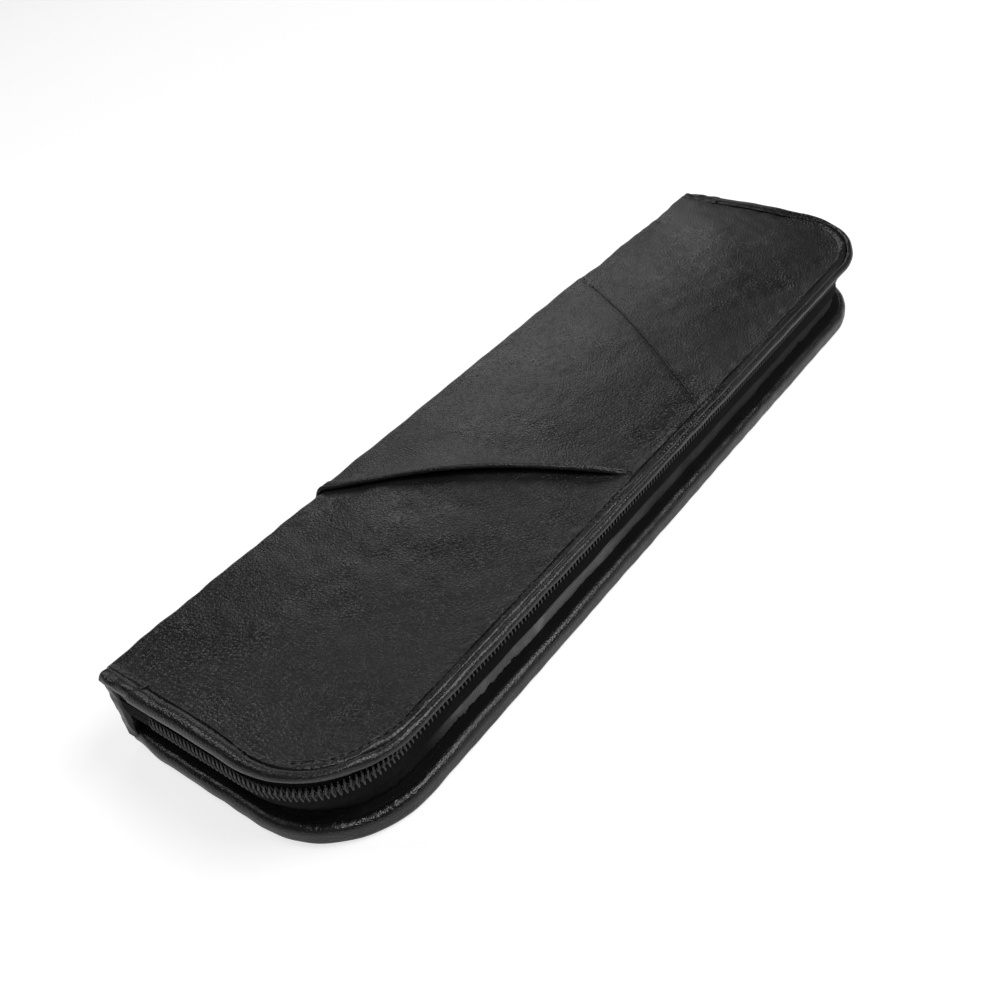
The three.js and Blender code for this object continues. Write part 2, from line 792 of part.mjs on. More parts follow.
// The pull is a tapered plate with an eye at its tip and a slot at its root, beyond which a round bar
// passes under the crown. Its frame has its origin on the bar's axis.
function pullTab() {
  const armHalf = pullWidth / 2;
  const tipHalf = pullTipWidth / 2;
  const slotHalf = crownWidth / 2 + slideGap;
  const tipX = pullLength - tipHalf;
  const shape = new THREE.Shape();
  shape.moveTo(0, -armHalf);
  shape.lineTo(pullHoleLength + armHalf, -armHalf);
  shape.absarc(tipX, 0, tipHalf, -Math.PI / 2, Math.PI / 2, false);
  shape.lineTo(pullHoleLength + armHalf, armHalf);
  shape.lineTo(0, armHalf);
  const slot = polygon([
    [0, -slotHalf],
    [pullHoleLength, -slotHalf],
    [pullHoleLength, slotHalf],
    [0, slotHalf],
  ]);
  const eye = new THREE.Path().absarc(tipX, 0, pullEyeRadius, 0, Math.PI * 2, true);
  shape.holes.push(eye);
  const sheet = prismAlongY(shape, -pullThickness / 2, pullThickness / 2, beadSteps);
  const room = prismAlongY(slot, -cutOverrun, cutOverrun, 1);
  const bar = new THREE.CylinderGeometry(pullThickness / 2, pullThickness / 2, pullWidth, rollSteps);
  return joined(cut(sheet, room), bar.rotateX(Math.PI / 2));
}

function slider() {
  const group = new THREE.Group();
  const pull = piece("pull_tab", pullTab(), blackMetal);
  pull.position.y = plateOuterFace + crownClear / 2;
  group.add(piece("slider_body", sliderBody(), blackMetal), pull);
  group.position.set(zipStartX + sliderTail - sliderLength / 2, caseLength / 2, chainHeight);
  return group;
}

const knifeCase = new THREE.Group();
knifeCase.add(base(), spine(), lid(), slider());

export default knifeCase;
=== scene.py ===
"""Looks of a zipped hard case for a chef's knives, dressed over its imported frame.

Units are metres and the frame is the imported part's own: X runs from the spine to the long zipped side, Y from
the near short end to the far one, Z up. Leather, cloth, zip and stitching are worked out as grids of points.
"""

import logging
import math
from collections.abc import Sequence
from dataclasses import dataclass
from enum import Enum
from typing import Protocol, TypeVar

import bpy
import numpy as np
from mathutils import Matrix, Vector

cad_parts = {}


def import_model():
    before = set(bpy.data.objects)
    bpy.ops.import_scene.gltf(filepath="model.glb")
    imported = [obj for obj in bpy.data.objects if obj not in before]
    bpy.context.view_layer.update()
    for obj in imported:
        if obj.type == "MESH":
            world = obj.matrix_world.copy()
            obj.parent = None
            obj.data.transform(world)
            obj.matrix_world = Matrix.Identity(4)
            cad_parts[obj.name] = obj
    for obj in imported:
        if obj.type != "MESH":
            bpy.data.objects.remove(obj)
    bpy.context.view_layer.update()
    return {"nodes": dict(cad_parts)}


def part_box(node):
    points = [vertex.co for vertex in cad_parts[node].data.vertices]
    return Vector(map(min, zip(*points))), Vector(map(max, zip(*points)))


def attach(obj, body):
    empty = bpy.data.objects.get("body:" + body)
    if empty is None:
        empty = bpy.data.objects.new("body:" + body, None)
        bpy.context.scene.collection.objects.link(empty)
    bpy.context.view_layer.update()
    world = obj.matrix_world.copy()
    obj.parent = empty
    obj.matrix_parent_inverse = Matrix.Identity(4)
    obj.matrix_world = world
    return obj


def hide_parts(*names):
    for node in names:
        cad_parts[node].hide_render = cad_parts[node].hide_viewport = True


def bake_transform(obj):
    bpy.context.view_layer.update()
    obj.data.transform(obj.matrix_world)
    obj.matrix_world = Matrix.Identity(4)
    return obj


LOG = logging.getLogger("knife_case")
QUARTER = math.pi / 2
Array = np.ndarray
Socket = bpy.types.NodeSocket
Value = TypeVar("Value")

CORNER_RADIUS = 0.049
TEETH_PAST_CHAIN = 0.0001
LEAST_SHEET_SIDE = 0.01
SECTION_COLUMN = 0.0006
SOFT_EDGE_DEGREES = 60.0


class Finish(Enum):
    """The finishes of the case. Each value starts the name of its material."""

    COVER = "cover_leather"
    BINDING = "binding_leather"
    LINING = "lining_cloth"
    WEB = "grey_web"
    TAPE = "black_tape"
    COIL = "nylon_coil"
    ELASTIC = "elastic"
    METAL = "black_metal"
    BOARD = "stiffener_board"


class Side(Enum):
    """The two covers. Each value is the sign of Z on its outer face."""

    BASE = -1.0
    LID = 1.0

    def pick(self, base: Value, lid: Value) -> Value:
        """The first for the base, and the second for the lid."""
        return lid if self is Side.LID else base

    @property
    def body(self) -> str:
        """Name of the cover's body, which its nodes' names start with too."""
        return self.pick("base", "lid")

    @property
    def fold(self) -> str:
        """Name of the fold beside the cover."""
        return self.pick("lower_fold", "upper_fold")


def eased(value: Array, low: float, high: float) -> Array:
    """Eased share of the way from low to high: 0 before, 1 after, 3t^2 - 2t^3 between.

    Args:
        value: Where to read the share.
        low: Where the share starts to grow.
        high: Where it reaches 1.

    Returns:
        The share at each value.
    """
    share = np.clip((np.asarray(value, float) - low) / (high - low), 0, 1)
    return share * share * (3 - 2 * share)


def grid_points(x: Array, y: Array, z: Array) -> Array:
    """Points with these three coordinates, spread to their common shape."""
    return np.stack(np.broadcast_arrays(x, y, z), -1)


def unit(rows: Array) -> Array:
    """The rows, each scaled to length 1."""
    return rows / np.linalg.norm(rows, axis=1, keepdims=True)


def lengths_along(points: Array) -> Array:
    """The running length at each row of a line of points, from 0."""
    steps = np.linalg.norm(np.diff(points, axis=0), axis=1)
    return np.concatenate([[0.0], np.cumsum(steps)])


def outward_normals(points: Array) -> Array:
    """Unit normals of a grid whose rows are closed profiles.

    They are the cross product of the grid's two directions, turned away from each row's middle.

    Args:
        points: Rows and columns of points.

    Returns:
        One unit vector a point.
    """
    around = (np.roll(points, -1, 1) - np.roll(points, 1, 1)) / 2
    normals = np.cross(np.gradient(points, axis=0), around)
    normals /= np.maximum(np.linalg.norm(normals, axis=2, keepdims=True), 1e-12)
    outwards = points - points.mean(1, keepdims=True)
    return normals if (normals * outwards).sum() > 0 else -normals


class Ripple:
    """Smooth seeded noise over two coordinates: a sum of plane waves near one wavelength, about -1 to 1."""

    WAVES = 22

    def __init__(self, wavelength: float, seed: int, stretch: tuple[float, float] = (1.0, 1.0)) -> None:
        """Draws the waves.

        Args:
            wavelength: The typical length from crest to crest, in metres.
            seed: Seed of the draw.
            stretch: How many times longer the waves are along each coordinate.
        """
        draw = np.random.default_rng(seed)
        turn = draw.uniform(0, 2 * math.pi, self.WAVES)
        rate = 2 * math.pi / (wavelength * draw.uniform(0.7, 1.6, self.WAVES))
        self.rates = np.stack([np.cos(turn) * rate / stretch[0], np.sin(turn) * rate / stretch[1]], 1)
        self.phases = draw.uniform(0, 2 * math.pi, self.WAVES)

    def at(self, first: Array, second: Array) -> Array:
        """The sum over the waves of sin(a * rate_a + b * rate_b + phase), scaled to about -1 to 1.

        Args:
            first: First coordinate.
            second: Second coordinate, of a shape that goes with the first.

        Returns:
            The noise, in the two coordinates' common shape.
        """
        total = np.zeros(np.broadcast(first, second).shape)
        for (rate_a, rate_b), phase in zip(self.rates, self.phases):
            total += np.sin(rate_a * first + rate_b * second + phase)
        return total * math.sqrt(2 / self.WAVES)


class MeshDraft:
    """Gathers closed bodies as arrays of points and faces, then makes one mesh object of them."""

    def __init__(self) -> None:
        """Starts with no bodies."""
        self._points: list[Array] = []
        self._corners: list[Array] = []
        self._sizes: list[Array] = []
        self._flat: list[Array] = []
        self._count = 0

    @staticmethod
    def _volume(points: Array, faces: Sequence[Array]) -> float:
        """The signed volume inside the faces: a sixth of the sum of a . (b x c) over their triangles."""
        total = 0.0
        for face in faces:
            corners = points[face]
            for k in range(1, face.shape[1] - 1):
                cross = np.cross(corners[:, k], corners[:, k + 1])
                total += float((corners[:, 0] * cross).sum()) / 6
        return total

    def _add(self, points: Array, faces: Sequence[Array], flat: Array, flat_faces: Sequence[Array]) -> None:
        """Adds one closed body, turned so that its faces point outwards.

        Args:
            points: Corners, as rows of x, y, z.
            faces: Arrays of faces, each with one number of corners a face.
            flat: Flat coordinates, as rows of u, v.
            flat_faces: The flat coordinate of each corner of each face.
        """
        points = points.reshape(-1, 3)
        step = -1 if self._volume(points, faces) < 0 else 1
        for face, flat_face in zip(faces, flat_faces):
            self._corners.append((face[:, ::step] + self._count).ravel())
            self._sizes.append(np.full(len(face), face.shape[1]))
            self._flat.append(flat[flat_face[:, ::step]].reshape(-1, 2))
        self._points.append(points)
        self._count += len(points)

    def add_tube(self, points: Array, along: Array | None = None, around: Array | None = None) -> "MeshDraft":
        """Adds a closed profile carried along a path, with flat ends, and returns the draft.

        Args:
            points: Rows of points along the path, columns round the profile.
            along: Length along the path at each row.
            around: Length round the profile at each column and once more at its start.
        """
        rows, columns = points.shape[:2]
        along = np.arange(rows, dtype=float) if along is None else along
        around = np.linspace(0, 1, columns + 1) if around is None else around
        flat = np.stack(np.broadcast_arrays(along[:, None], around[None, :]), -1).reshape(-1, 2)
        i, j = np.meshgrid(np.arange(rows - 1), np.arange(columns), indexing="ij")
        steps = [(0, 0), (1, 0), (1, 1), (0, 1)]
        body = np.stack([(i + a) * columns + (j + b) % columns for a, b in steps], -1).reshape(-1, 4)
        flat_body = np.stack([(i + a) * (columns + 1) + j + b for a, b in steps], -1).reshape(-1, 4)
        ring = np.arange(columns)[None, :]
        faces = [body, ring, ring[:, ::-1] + (rows - 1) * columns]
        self._add(points, faces, flat, [flat_body, ring, ring[:, ::-1] + (rows - 1) * (columns + 1)])
        return self

    def add_slab(self, top: Array, under: Array, along: Array, across: Array) -> "MeshDraft":
        """Adds a closed sheet between two grids of the same rows and columns, and returns the draft.

        Args:
            top: One face.
            under: The other face.
            along: Flat coordinate of each row, or of each point.
            across: Flat coordinate of each column, or of each point.
        """
        rows, columns = top.shape[:2]
        along = along[:, None] if along.ndim == 1 else along
        across = across[None, :] if across.ndim == 1 else across
        flat = np.stack(np.broadcast_arrays(along, across), -1).reshape(-1, 2)
        size = rows * columns
        index = np.arange(size).reshape(rows, columns)
        a, b, c, d = index[:-1, :-1], index[1:, :-1], index[1:, 1:], index[:-1, 1:]
        upper = np.stack([a, b, c, d], -1).reshape(-1, 4)
        edges = [index[0, :], index[-1, ::-1], index[::-1, 0], index[:, -1]]
        walls = [np.stack([e[:-1], e[1:], e[1:] + size, e[:-1] + size], -1) for e in edges]
        faces = [upper, upper[:, ::-1] + size, *walls]
        points = np.concatenate([top.reshape(-1, 3), under.reshape(-1, 3)])
        self._add(points, faces, flat, [f % size for f in faces])
        return self

    def build(self, name: str, material: bpy.types.Material, sharp_degrees: float) -> bpy.types.Object:
        """Makes the mesh object.

        Args:
            name: Name of the piece.
            material: Its finish.
            sharp_degrees: Edges that turn more than this stay sharp.

        Returns:
            The object, at the origin, linked to the scene.
        """
        points = np.concatenate(self._points).astype(np.float32)
        corners = np.concatenate(self._corners).astype(np.int32)
        sizes = np.concatenate(self._sizes)
        starts = np.concatenate([[0], np.cumsum(sizes)[:-1]]).astype(np.int32)
        mesh = bpy.data.meshes.new(name)
        mesh.vertices.add(len(points))
        mesh.vertices.foreach_set("co", points.ravel())
        mesh.loops.add(len(corners))
        mesh.loops.foreach_set("vertex_index", corners)
        mesh.polygons.add(len(sizes))
        mesh.polygons.foreach_set("loop_start", starts)
        mesh.update(calc_edges=True)
        layer = mesh.uv_layers.new(name="flat")
        layer.data.foreach_set("uv", np.concatenate(self._flat).astype(np.float32).ravel())
        mesh.polygons.foreach_set("use_smooth", np.ones(len(sizes), bool))
        mesh.set_sharp_from_angle(angle=math.radians(sharp_degrees))
        mesh.materials.append(material)
        piece = bpy.data.objects.new(name, mesh)
        bpy.context.scene.collection.objects.link(piece)
        return piece


@dataclass(frozen=True)
class Rim:
    """The case's outline along its near edge, long zipped edge and far edge, with round corners.

    A station is a length along it from the middle of the long edge, positive towards the far end.
    """

    half_length: float
    half_width: float
    corner_radius: float
    short_edge_from: float = 0.6
    short_edge_ease: float = 0.02

    @property
    def centre_x(self) -> float:
        """X of the corners' centres."""
        return self.half_width - self.corner_radius

    @property
    def centre_y(self) -> float:
        """Y of the far corner's centre."""
        return self.half_length - self.corner_radius

    @property
    def corner_run(self) -> float:
        """Length of the outline round a corner."""
        return self.corner_radius * QUARTER

    def station_at(self, x: float) -> float:
        """The station at which the far edge reaches x."""
        return self.centre_y + self.corner_run + self.centre_x - x

    def point(self, station: Array, inset: Array, height: Array) -> Array:
        """Points that stand in from the outline: the straight run, then the turn, then the short run.

        Args:
            station: Stations.
            inset: How far in from the outline each point is.
            height: Each point's Z.

        Returns:
            Points in the three arrays' common shape.
        """
        station, inset, height = np.broadcast_arrays(station, inset, height)
        side = np.where(station < 0, -1.0, 1.0)
        run = np.abs(station)
        turn = np.clip((run - self.centre_y) / self.corner_radius, 0, QUARTER)
        beyond = np.clip(run - self.centre_y - self.corner_run, 0, None)
        reach = self.corner_radius - inset
        x = self.centre_x - beyond + np.cos(turn) * reach
        y = side * (np.minimum(run, self.centre_y) + np.sin(turn) * reach)
        return np.stack([x, y, height], -1)

    def corner_share(self, station: Array) -> Array:
        """1 on the round corners and 0 away from them, eased over a finger's width."""
        run = np.abs(station)
        end = self.centre_y + self.corner_run
        blend = self.corner_radius / 3
        started = eased(run, self.centre_y - blend, self.centre_y + blend)
        return started * (1 - eased(run, end - blend, end + blend))

    def end_share(self, station: Array) -> Array:
        """0 along the long edge and round its corners, and 1 on both short edges."""
        start = self.centre_y + self.corner_run * self.short_edge_from
        return eased(np.abs(station), start, self.centre_y + self.corner_run + self.short_edge_ease)

    def stations(self, start_x: float, step: float) -> Array:
        """Evenly spaced stations from start_x on the near edge to start_x on the far edge."""
        end = self.station_at(start_x)
        return np.linspace(-end, end, max(2, round(2 * end / step) + 1))


@dataclass(frozen=True)
class CaseForm:
    """The case's driving sizes, with the outer ones read from the frame, and the shapes of its soft covers."""

    rim: Rim
    height: float
    fold_x: float
    fold_radius: float
    lower_fold_z: float
    upper_fold_z: float
    stack_x: float
    binding_start_x: float
    chain_z: float
    floor_z: float
    lining_z: float
    seam_z: float
    skin_top: float = 0.0015
    skin_thickness: float = 0.0012
    foam_under: float = 0.0054
    foam_least: float = 0.0004
    crown: float = 0.0024
    crown_reach: float = 0.97
    spine_drop: float = 0.0018
    stack_inset: float = 0.005
    gusset_inset: float = 0.0085
    wall_bulge: float = 0.0054
    bulge_run: tuple[float, float] = (-0.01, 0.05)
    bulge_rise: tuple[float, float] = (-0.004, 0.003)
    bulge_top_z: float = 0.040
    bulge_fall: float = 0.7
    edge_sag: float = 0.0035
    edge_sag_span: tuple[float, float] = (-0.02, 0.055)
    rim_sag: float = 0.0015
    rim_sag_span: tuple[float, float] = (0.056, 0.0625)
    lid_overhang: float = 0.0020
    near_lean: float = 0.0020
    lean_run: float = 0.06
    chain_sag: float = 0.0012
    chain_held_span: tuple[float, float] = (0.10, 0.19)
    base_flat_span: tuple[float, float] = (0.87, 0.98)

    @classmethod
    def from_frame(cls) -> "CaseForm":
        """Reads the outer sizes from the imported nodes."""
        base_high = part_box("base_binding")[1]
        lower_low, lower_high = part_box("lower_fold")
        upper_low, upper_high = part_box("upper_fold")
        lid_low, lid_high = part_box("lid_binding")
        radius = (lower_high.z - lower_low.z) / 2
        return cls(
            rim=Rim(base_high.y, base_high.x, CORNER_RADIUS),
            height=lid_high.z,
            fold_x=(lower_low.x + lower_high.x) / 2,
            fold_radius=radius,
            lower_fold_z=lower_low.z + radius,
            upper_fold_z=upper_low.z + radius,
            stack_x=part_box("base_skin")[0].x,
            binding_start_x=lid_low.x,
            chain_z=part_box("base_zip_coil")[1].z - TEETH_PAST_CHAIN,
            floor_z=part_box("base_lining")[1].z,
            lining_z=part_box("lid_lining")[0].z,
            seam_z=(lower_low.z + upper_high.z) / 2,
        )

    @property
    def lid_rim(self) -> Rim:
        """The lid's own outline, which stands proud of the base's on the zipped side."""
        return Rim(self.rim.half_length, self.rim.half_width + self.lid_overhang, self.rim.corner_radius)

    @property
    def stack_end_x(self) -> float:
        """X of the covers' zipped edge."""
        return self.rim.half_width - self.stack_inset

    @property
    def stack_radius(self) -> float:
        """Radius of the covers' round corners."""
        return self.rim.corner_radius - self.stack_inset

    @property
    def fold_arc(self) -> float:
        """Length of the leather round a fold."""
        return self.fold_radius * QUARTER

    def fold_z(self, side: Side) -> float:
        """Z of the fold's axis beside a cover."""
        return side.pick(self.lower_fold_z, self.upper_fold_z)

    def drop(self, x: Array) -> Array:
        """How far the lid sinks: by the square of the way across to the spine, and eased down to the zip."""
        x = np.asarray(x)
        across = (self.rim.half_width - x) / (2 * self.rim.half_width)
        pulled = self.edge_sag * eased(x, *self.edge_sag_span) + self.rim_sag * eased(x, *self.rim_sag_span)
        return self.spine_drop * across**2 + pulled

    def lean(self, station: Array) -> Array:
        """How far the lid's soft edge leans out over the near short end."""
        start = self.rim.centre_y
        return self.near_lean * eased(-np.asarray(station), start, start + self.lean_run)

    def chain_height(self, station: Array) -> Array:
        """Z of the middle of the zip's chain, which hangs a little except where the slider holds it."""
        return self.chain_z - self.chain_sag * (1 - eased(station, *self.chain_held_span))

    def near_bulge(self, station: Array, height: Array) -> Array:
        """How far the soft wall leans out beyond its plain shape on the near short edge, most at the chain."""
        start, end = self.bulge_run
        along = eased(-np.asarray(station), self.rim.centre_y + start, self.rim.centre_y + end)
        below, above = self.bulge_rise
        fall = 1 - self.bulge_fall * eased(height, self.chain_z + above, self.bulge_top_z)
        return self.wall_bulge * along * (eased(height, self.floor_z, self.chain_z + below) * fall)

    def share(self, x: Array, y: Array) -> Array:
        """How far out a point lies on the cover: 0 on its middle line, 1 on its edge.

        The edge is a rectangle with two round corners on the zipped side, and the point is on its copy shrunk
        about the middle line. Beside a corner the share solves |(dx, dy) - c s| = r s.
        """
        half = (self.stack_end_x - self.stack_x) / 2
        dx_signed = (x - (self.stack_x + half)) / half
        middle_y = self.rim.half_length - self.stack_inset - half
        dy = np.maximum(np.abs(y) - middle_y, 0) / half
        dx = np.abs(dx_signed)
        radius = self.stack_radius / half
        centre = 1 - radius
        lean = radius**2 - 2 * centre**2
        total = dx + dy
        root = np.sqrt(centre**2 * total**2 + lean * (dx**2 + dy**2))
        corner = (root - centre * total) / lean
        beside = (dx_signed > 0) & (dy > centre * dx) & (dx > centre * dy)
        return np.where(beside, corner, np.maximum(dx, dy))

    def face_z(self, side: Side, x: Array, y: Array) -> Array:
        """Z of a cover's outer leather: the lid swells to a crown, and the base steps down to the table."""
        share = self.share(x, y)
        if side is Side.LID:
            swell = np.clip(1 - (share / self.crown_reach) ** 2, 0, 1) ** 1.5
            level = self.height - self.skin_top - self.drop(x) + self.crown * swell
            return np.maximum(level, self.height - self.foam_under + self.foam_least)
        return self.skin_top * eased(share, *self.base_flat_span)

    def half_length_at(self, x: Array) -> Array:
        """Half of the cover's length at x: full beside the spine, and less on the round corners."""
        past = np.clip(x - self.rim.centre_x, 0, self.stack_radius)
        return self.rim.centre_y + np.sqrt(np.maximum(self.stack_radius**2 - past**2, 0))

    def leather(self, side: Side, run: Array, y: Array, lift: Array) -> Array:
        """Points on a cover's outer leather, which goes from the cover round the fold and on to the spine.

        Args:
            side: Which cover.
            run: Length across, 0 on the fold's axis, positive on the cover, negative round the fold and on
                the spine.
            y: Place along the case.
            lift: How far outwards of the leather's face each point is.

        Returns:
            Points in the three arrays' common shape.
        """
        run, y, lift = np.broadcast_arrays(run, y, lift)
        turn = QUARTER + np.clip(run, -self.fold_arc, 0) / self.fold_radius
        reach = self.fold_radius + lift
        fold_x = self.fold_x - np.cos(turn) * reach
        fold_z = self.fold_z(side) + side.value * np.sin(turn) * reach
        along_spine = side.value * np.minimum(run + self.fold_arc, 0)
        cover_x = self.fold_x + np.maximum(run, 0)
        cover_z = self.face_z(side, cover_x, y) + side.value * lift
        on_cover = run >= 0
        x = np.where(on_cover, cover_x, fold_x)
        return np.stack([x, y, np.where(on_cover, cover_z, fold_z + along_spine)], -1)

    def runs(self, end_x: float, end_z: float, side: Side, step: float) -> Array:
        """Lengths across for the columns of a leather: the spine, the fold, the cover, the round corners."""
        spine_length = abs(self.fold_z(side) - end_z)
        spine = -self.fold_arc - np.linspace(spine_length, step, max(2, round(spine_length / step)))
        fold = np.linspace(-self.fold_arc, 0, 11)
        flat = np.arange(step, self.rim.centre_x - self.fold_x, step)
        turn_end = math.asin(min(1.0, (end_x - self.rim.centre_x) / self.stack_radius))
        turned = self.stack_radius * np.sin(np.linspace(0.02, turn_end, 24))
        return np.concatenate([spine, fold, flat, self.rim.centre_x - self.fold_x + turned])


class NodeBoard:
    """Adds nodes to one tree and joins them."""

    def __init__(self, tree: bpy.types.NodeTree) -> None:
        """Keeps the tree."""
        self.tree = tree

    def feed(self, socket: Socket, value: object) -> None:
        """Links a socket to the input, or sets its plain value."""
        if isinstance(value, bpy.types.NodeSocket):
            self.tree.links.new(value, socket)
        else:
            socket.default_value = value

    def add(self, kind: str, inputs: dict[str, object] | None = None, **settings: object) -> bpy.types.Node:
        """Adds a node.

        Args:
            kind: Blender's name of the node type.
            inputs: Values or sockets for its inputs, by name.
            **settings: The node's own settings.

        Returns:
            The node.
        """
        node = self.tree.nodes.new(kind)
        for name, value in settings.items():
            setattr(node, name, value)
        for name, value in (inputs or {}).items():
            self.feed(node.inputs[name], value)
        return node

    def math(self, operation: str, first: object, second: object = 0.0) -> Socket:
        """The result of a sum on two values."""
        node = self.add("ShaderNodeMath", operation=operation)
        self.feed(node.inputs[0], first)
        self.feed(node.inputs[1], second)
        return node.outputs[0]

    def times(self, first: object, second: object) -> Socket:
        """The product of two values."""
        return self.math("MULTIPLY", first, second)

    def vector(self, operation: str, first: object, second: object) -> Socket:
        """The result of a sum on two vectors."""
        node = self.add("ShaderNodeVectorMath", operation=operation)
        self.feed(node.inputs[0], first)
        self.feed(node.inputs[1], second)
        return node.outputs[0]

    def shaken(self, place: Socket, scale: object, detail: float, reach: object) -> Socket:
        """A place moved about by a noise of its own, up to half the reach each way."""
        colour = self.noise(place, scale, detail).outputs["Color"]
        centred = self.vector("SUBTRACT", colour, (0.5, 0.5, 0.5))
        scaled = self.add("ShaderNodeVectorMath", {"Scale": reach}, operation="SCALE")
        self.feed(scaled.inputs[0], centred)
        return self.vector("ADD", place, scaled.outputs[0])

    def span(self, value: object, low: float, high: float, start: float = 0.0, end: float = 1.0) -> Socket:
        """A value eased from the span low..high to the span start..end."""
        inputs = {"Value": value, "From Min": low, "From Max": high, "To Min": start, "To Max": end}
        return self.add("ShaderNodeMapRange", inputs, interpolation_type="SMOOTHSTEP").outputs["Result"]

    def blend(self, share: object, first: object, second: object) -> Socket:
        """A colour between two colours."""
        node = self.add("ShaderNodeMix", data_type="RGBA")
        self.feed(node.inputs[0], share)
        self.feed(node.inputs[6], first)
        self.feed(node.inputs[7], second)
        return node.outputs[2]

    def noise(self, vector: object, scale: object, detail: float = 2.0) -> bpy.types.Node:
        """A noise texture."""
        return self.add("ShaderNodeTexNoise", {"Vector": vector, "Scale": scale, "Detail": detail})

    def edges(self, vector: object, scale: object) -> Socket:
        """Distance to the nearest edge between random cells, in cells."""
        inputs = {"Vector": vector, "Scale": scale}
        return self.add("ShaderNodeTexVoronoi", inputs, feature="DISTANCE_TO_EDGE").outputs["Distance"]


class EffectGroup(NodeBoard):
    """The board of a new shader node group, with the group's inputs and outputs at hand by name."""

    def __init__(self, name: str, inputs: dict[str, str], outputs: dict[str, str]) -> None:
        """Starts the group.

        Args:
            name: Name of the group.
            inputs: Kind of socket by input name, such as Float or Vector.
            outputs: The same for outputs.
        """
        super().__init__(bpy.data.node_groups.new(name, "ShaderNodeTree"))
        for sockets, way in ((inputs, "INPUT"), (outputs, "OUTPUT")):
            for socket, kind in sockets.items():
                self.tree.interface.new_socket(socket, in_out=way, socket_type=f"NodeSocket{kind}")
        self.given = self.add("NodeGroupInput").outputs
        self.out = self.add("NodeGroupOutput").inputs


@dataclass(frozen=True)
class LeatherGrain:
    """Node group of the leather's grain: rounded pebbles, fine pores and patches of crossing creases."""

    wobble: float = 0.9
    wobble_rate: float = 0.3
    pebble_round: float = 0.32
    pore_rate: float = 1.7
    cloud_scale: float = 17.0
    patch_scale: float = 31.0
    patch_span: tuple[float, float] = (0.46, 0.66)
    bend_scale: float = 120.0
    bend: float = 0.012
    coarse_scale: float = 175.0
    coarse_width: float = 0.09
    fine_scale: float = 420.0
    fine_width: float = 0.11
    fine_weight: float = 0.6
    crease_depth: float = 0.15
    valley_span: tuple[float, float] = (0.35, 0.62)

    def build(self) -> bpy.types.NodeTree:
        """Makes the group.

        Returns:
            A group that takes a place, the pebbles a metre and the creases' weight, and gives a height, the
            creases' mask, a slow variation and the valleys' mask.
        """
        group = EffectGroup(
            "leather_grain",
            {"Vector": "Vector", "Pebbles": "Float", "Creasing": "Float"},
            {"Height": "Float", "Crease": "Float", "Cloud": "Float", "Valley": "Float"},
        )
        place, pebbles = group.given["Vector"], group.given["Pebbles"]
        reach = group.math("DIVIDE", self.wobble, pebbles)
        warped = group.shaken(place, group.times(pebbles, self.wobble_rate), 2.0, reach)
        pebble = group.span(group.edges(warped, pebbles), 0.0, self.pebble_round)
        pores = group.noise(warped, group.times(pebbles, self.pore_rate), 3.0).outputs["Fac"]
        patch = group.span(group.noise(place, self.patch_scale).outputs["Fac"], *self.patch_span)
        strained = group.shaken(place, self.bend_scale, 3.0, self.bend)
        coarse = group.span(group.edges(strained, self.coarse_scale), 0.0, self.coarse_width, 1.0, 0.0)
        fine = group.span(group.edges(strained, self.fine_scale), 0.0, self.fine_width, 1.0, 0.0)
        lines = group.math("ADD", coarse, group.times(fine, self.fine_weight))
        weight = group.math("ADD", group.times(patch, 0.8), 0.2)
        crease = group.times(lines, group.times(weight, group.given["Creasing"]))
        height = group.math("ADD", group.times(pebble, 0.5), group.times(pores, 0.5))
        height = group.math("SUBTRACT", height, group.times(crease, self.crease_depth))
        group.feed(group.out["Height"], height)
        group.feed(group.out["Valley"], group.span(height, *self.valley_span, 1.0, 0.0))
        group.feed(group.out["Crease"], crease)
        group.feed(group.out["Cloud"], group.noise(place, self.cloud_scale, 3.0).outputs["Fac"])
        return group.tree


@dataclass(frozen=True)
class ThreadWeave:
    """Node group of a plain weave: rows of crowned threads that pass over and under one another."""

    fuzz_scale: float = 2400.0
    fuzz: float = 0.5

    def build(self) -> bpy.types.NodeTree:
        """Makes the group.

        Returns:
            A group that takes a flat place and the threads a metre each way, and gives a height and a mask
            that is 1 on the threads' crowns.
        """
        group = EffectGroup(
            "thread_weave",
            {"Vector": "Vector", "Warp": "Float", "Weft": "Float"},
            {"Height": "Float", "Crown": "Float"},
        )
        place = group.given["Vector"]
        parts = group.add("ShaderNodeSeparateXYZ", {"Vector": place}).outputs
        waves = []
        for axis, threads in (("X", "Warp"), ("Y", "Weft")):
            turn = group.times(group.times(parts[axis], group.given[threads]), math.pi)
            waves.append(group.math("SINE", turn))
        crown = group.math("ABSOLUTE", group.times(*waves))
        fuzz = group.noise(place, self.fuzz_scale).outputs["Fac"]
        group.feed(group.out["Height"], group.math("ADD", crown, group.times(fuzz, self.fuzz)))
        group.feed(group.out["Crown"], crown)
        return group.tree


@dataclass(frozen=True)
class SurfaceWear:
    """Node group of lint, dust and rubbed spots."""

    speck_scale: float = 900.0
    speck_span: tuple[float, float] = (0.70, 0.80)
    rub_scale: float = 60.0
    rub_span: tuple[float, float] = (0.48, 0.72)

    def build(self) -> bpy.types.NodeTree:
        """Makes the group.

        Returns:
            A group that takes a place and an amount and gives a mask of specks and one of rubbed spots.
        """
        group = EffectGroup(
            "surface_wear", {"Vector": "Vector", "Amount": "Float"}, {"Specks": "Float", "Rubbed": "Float"}
        )
        place, amount = group.given["Vector"], group.given["Amount"]
        specks = group.span(group.noise(place, self.speck_scale).outputs["Fac"], *self.speck_span)
        rubbed = group.span(group.noise(place, self.rub_scale, 4.0).outputs["Fac"], *self.rub_span)
        group.feed(group.out["Specks"], group.times(specks, amount))
        group.feed(group.out["Rubbed"], group.times(rubbed, amount))
        return group.tree


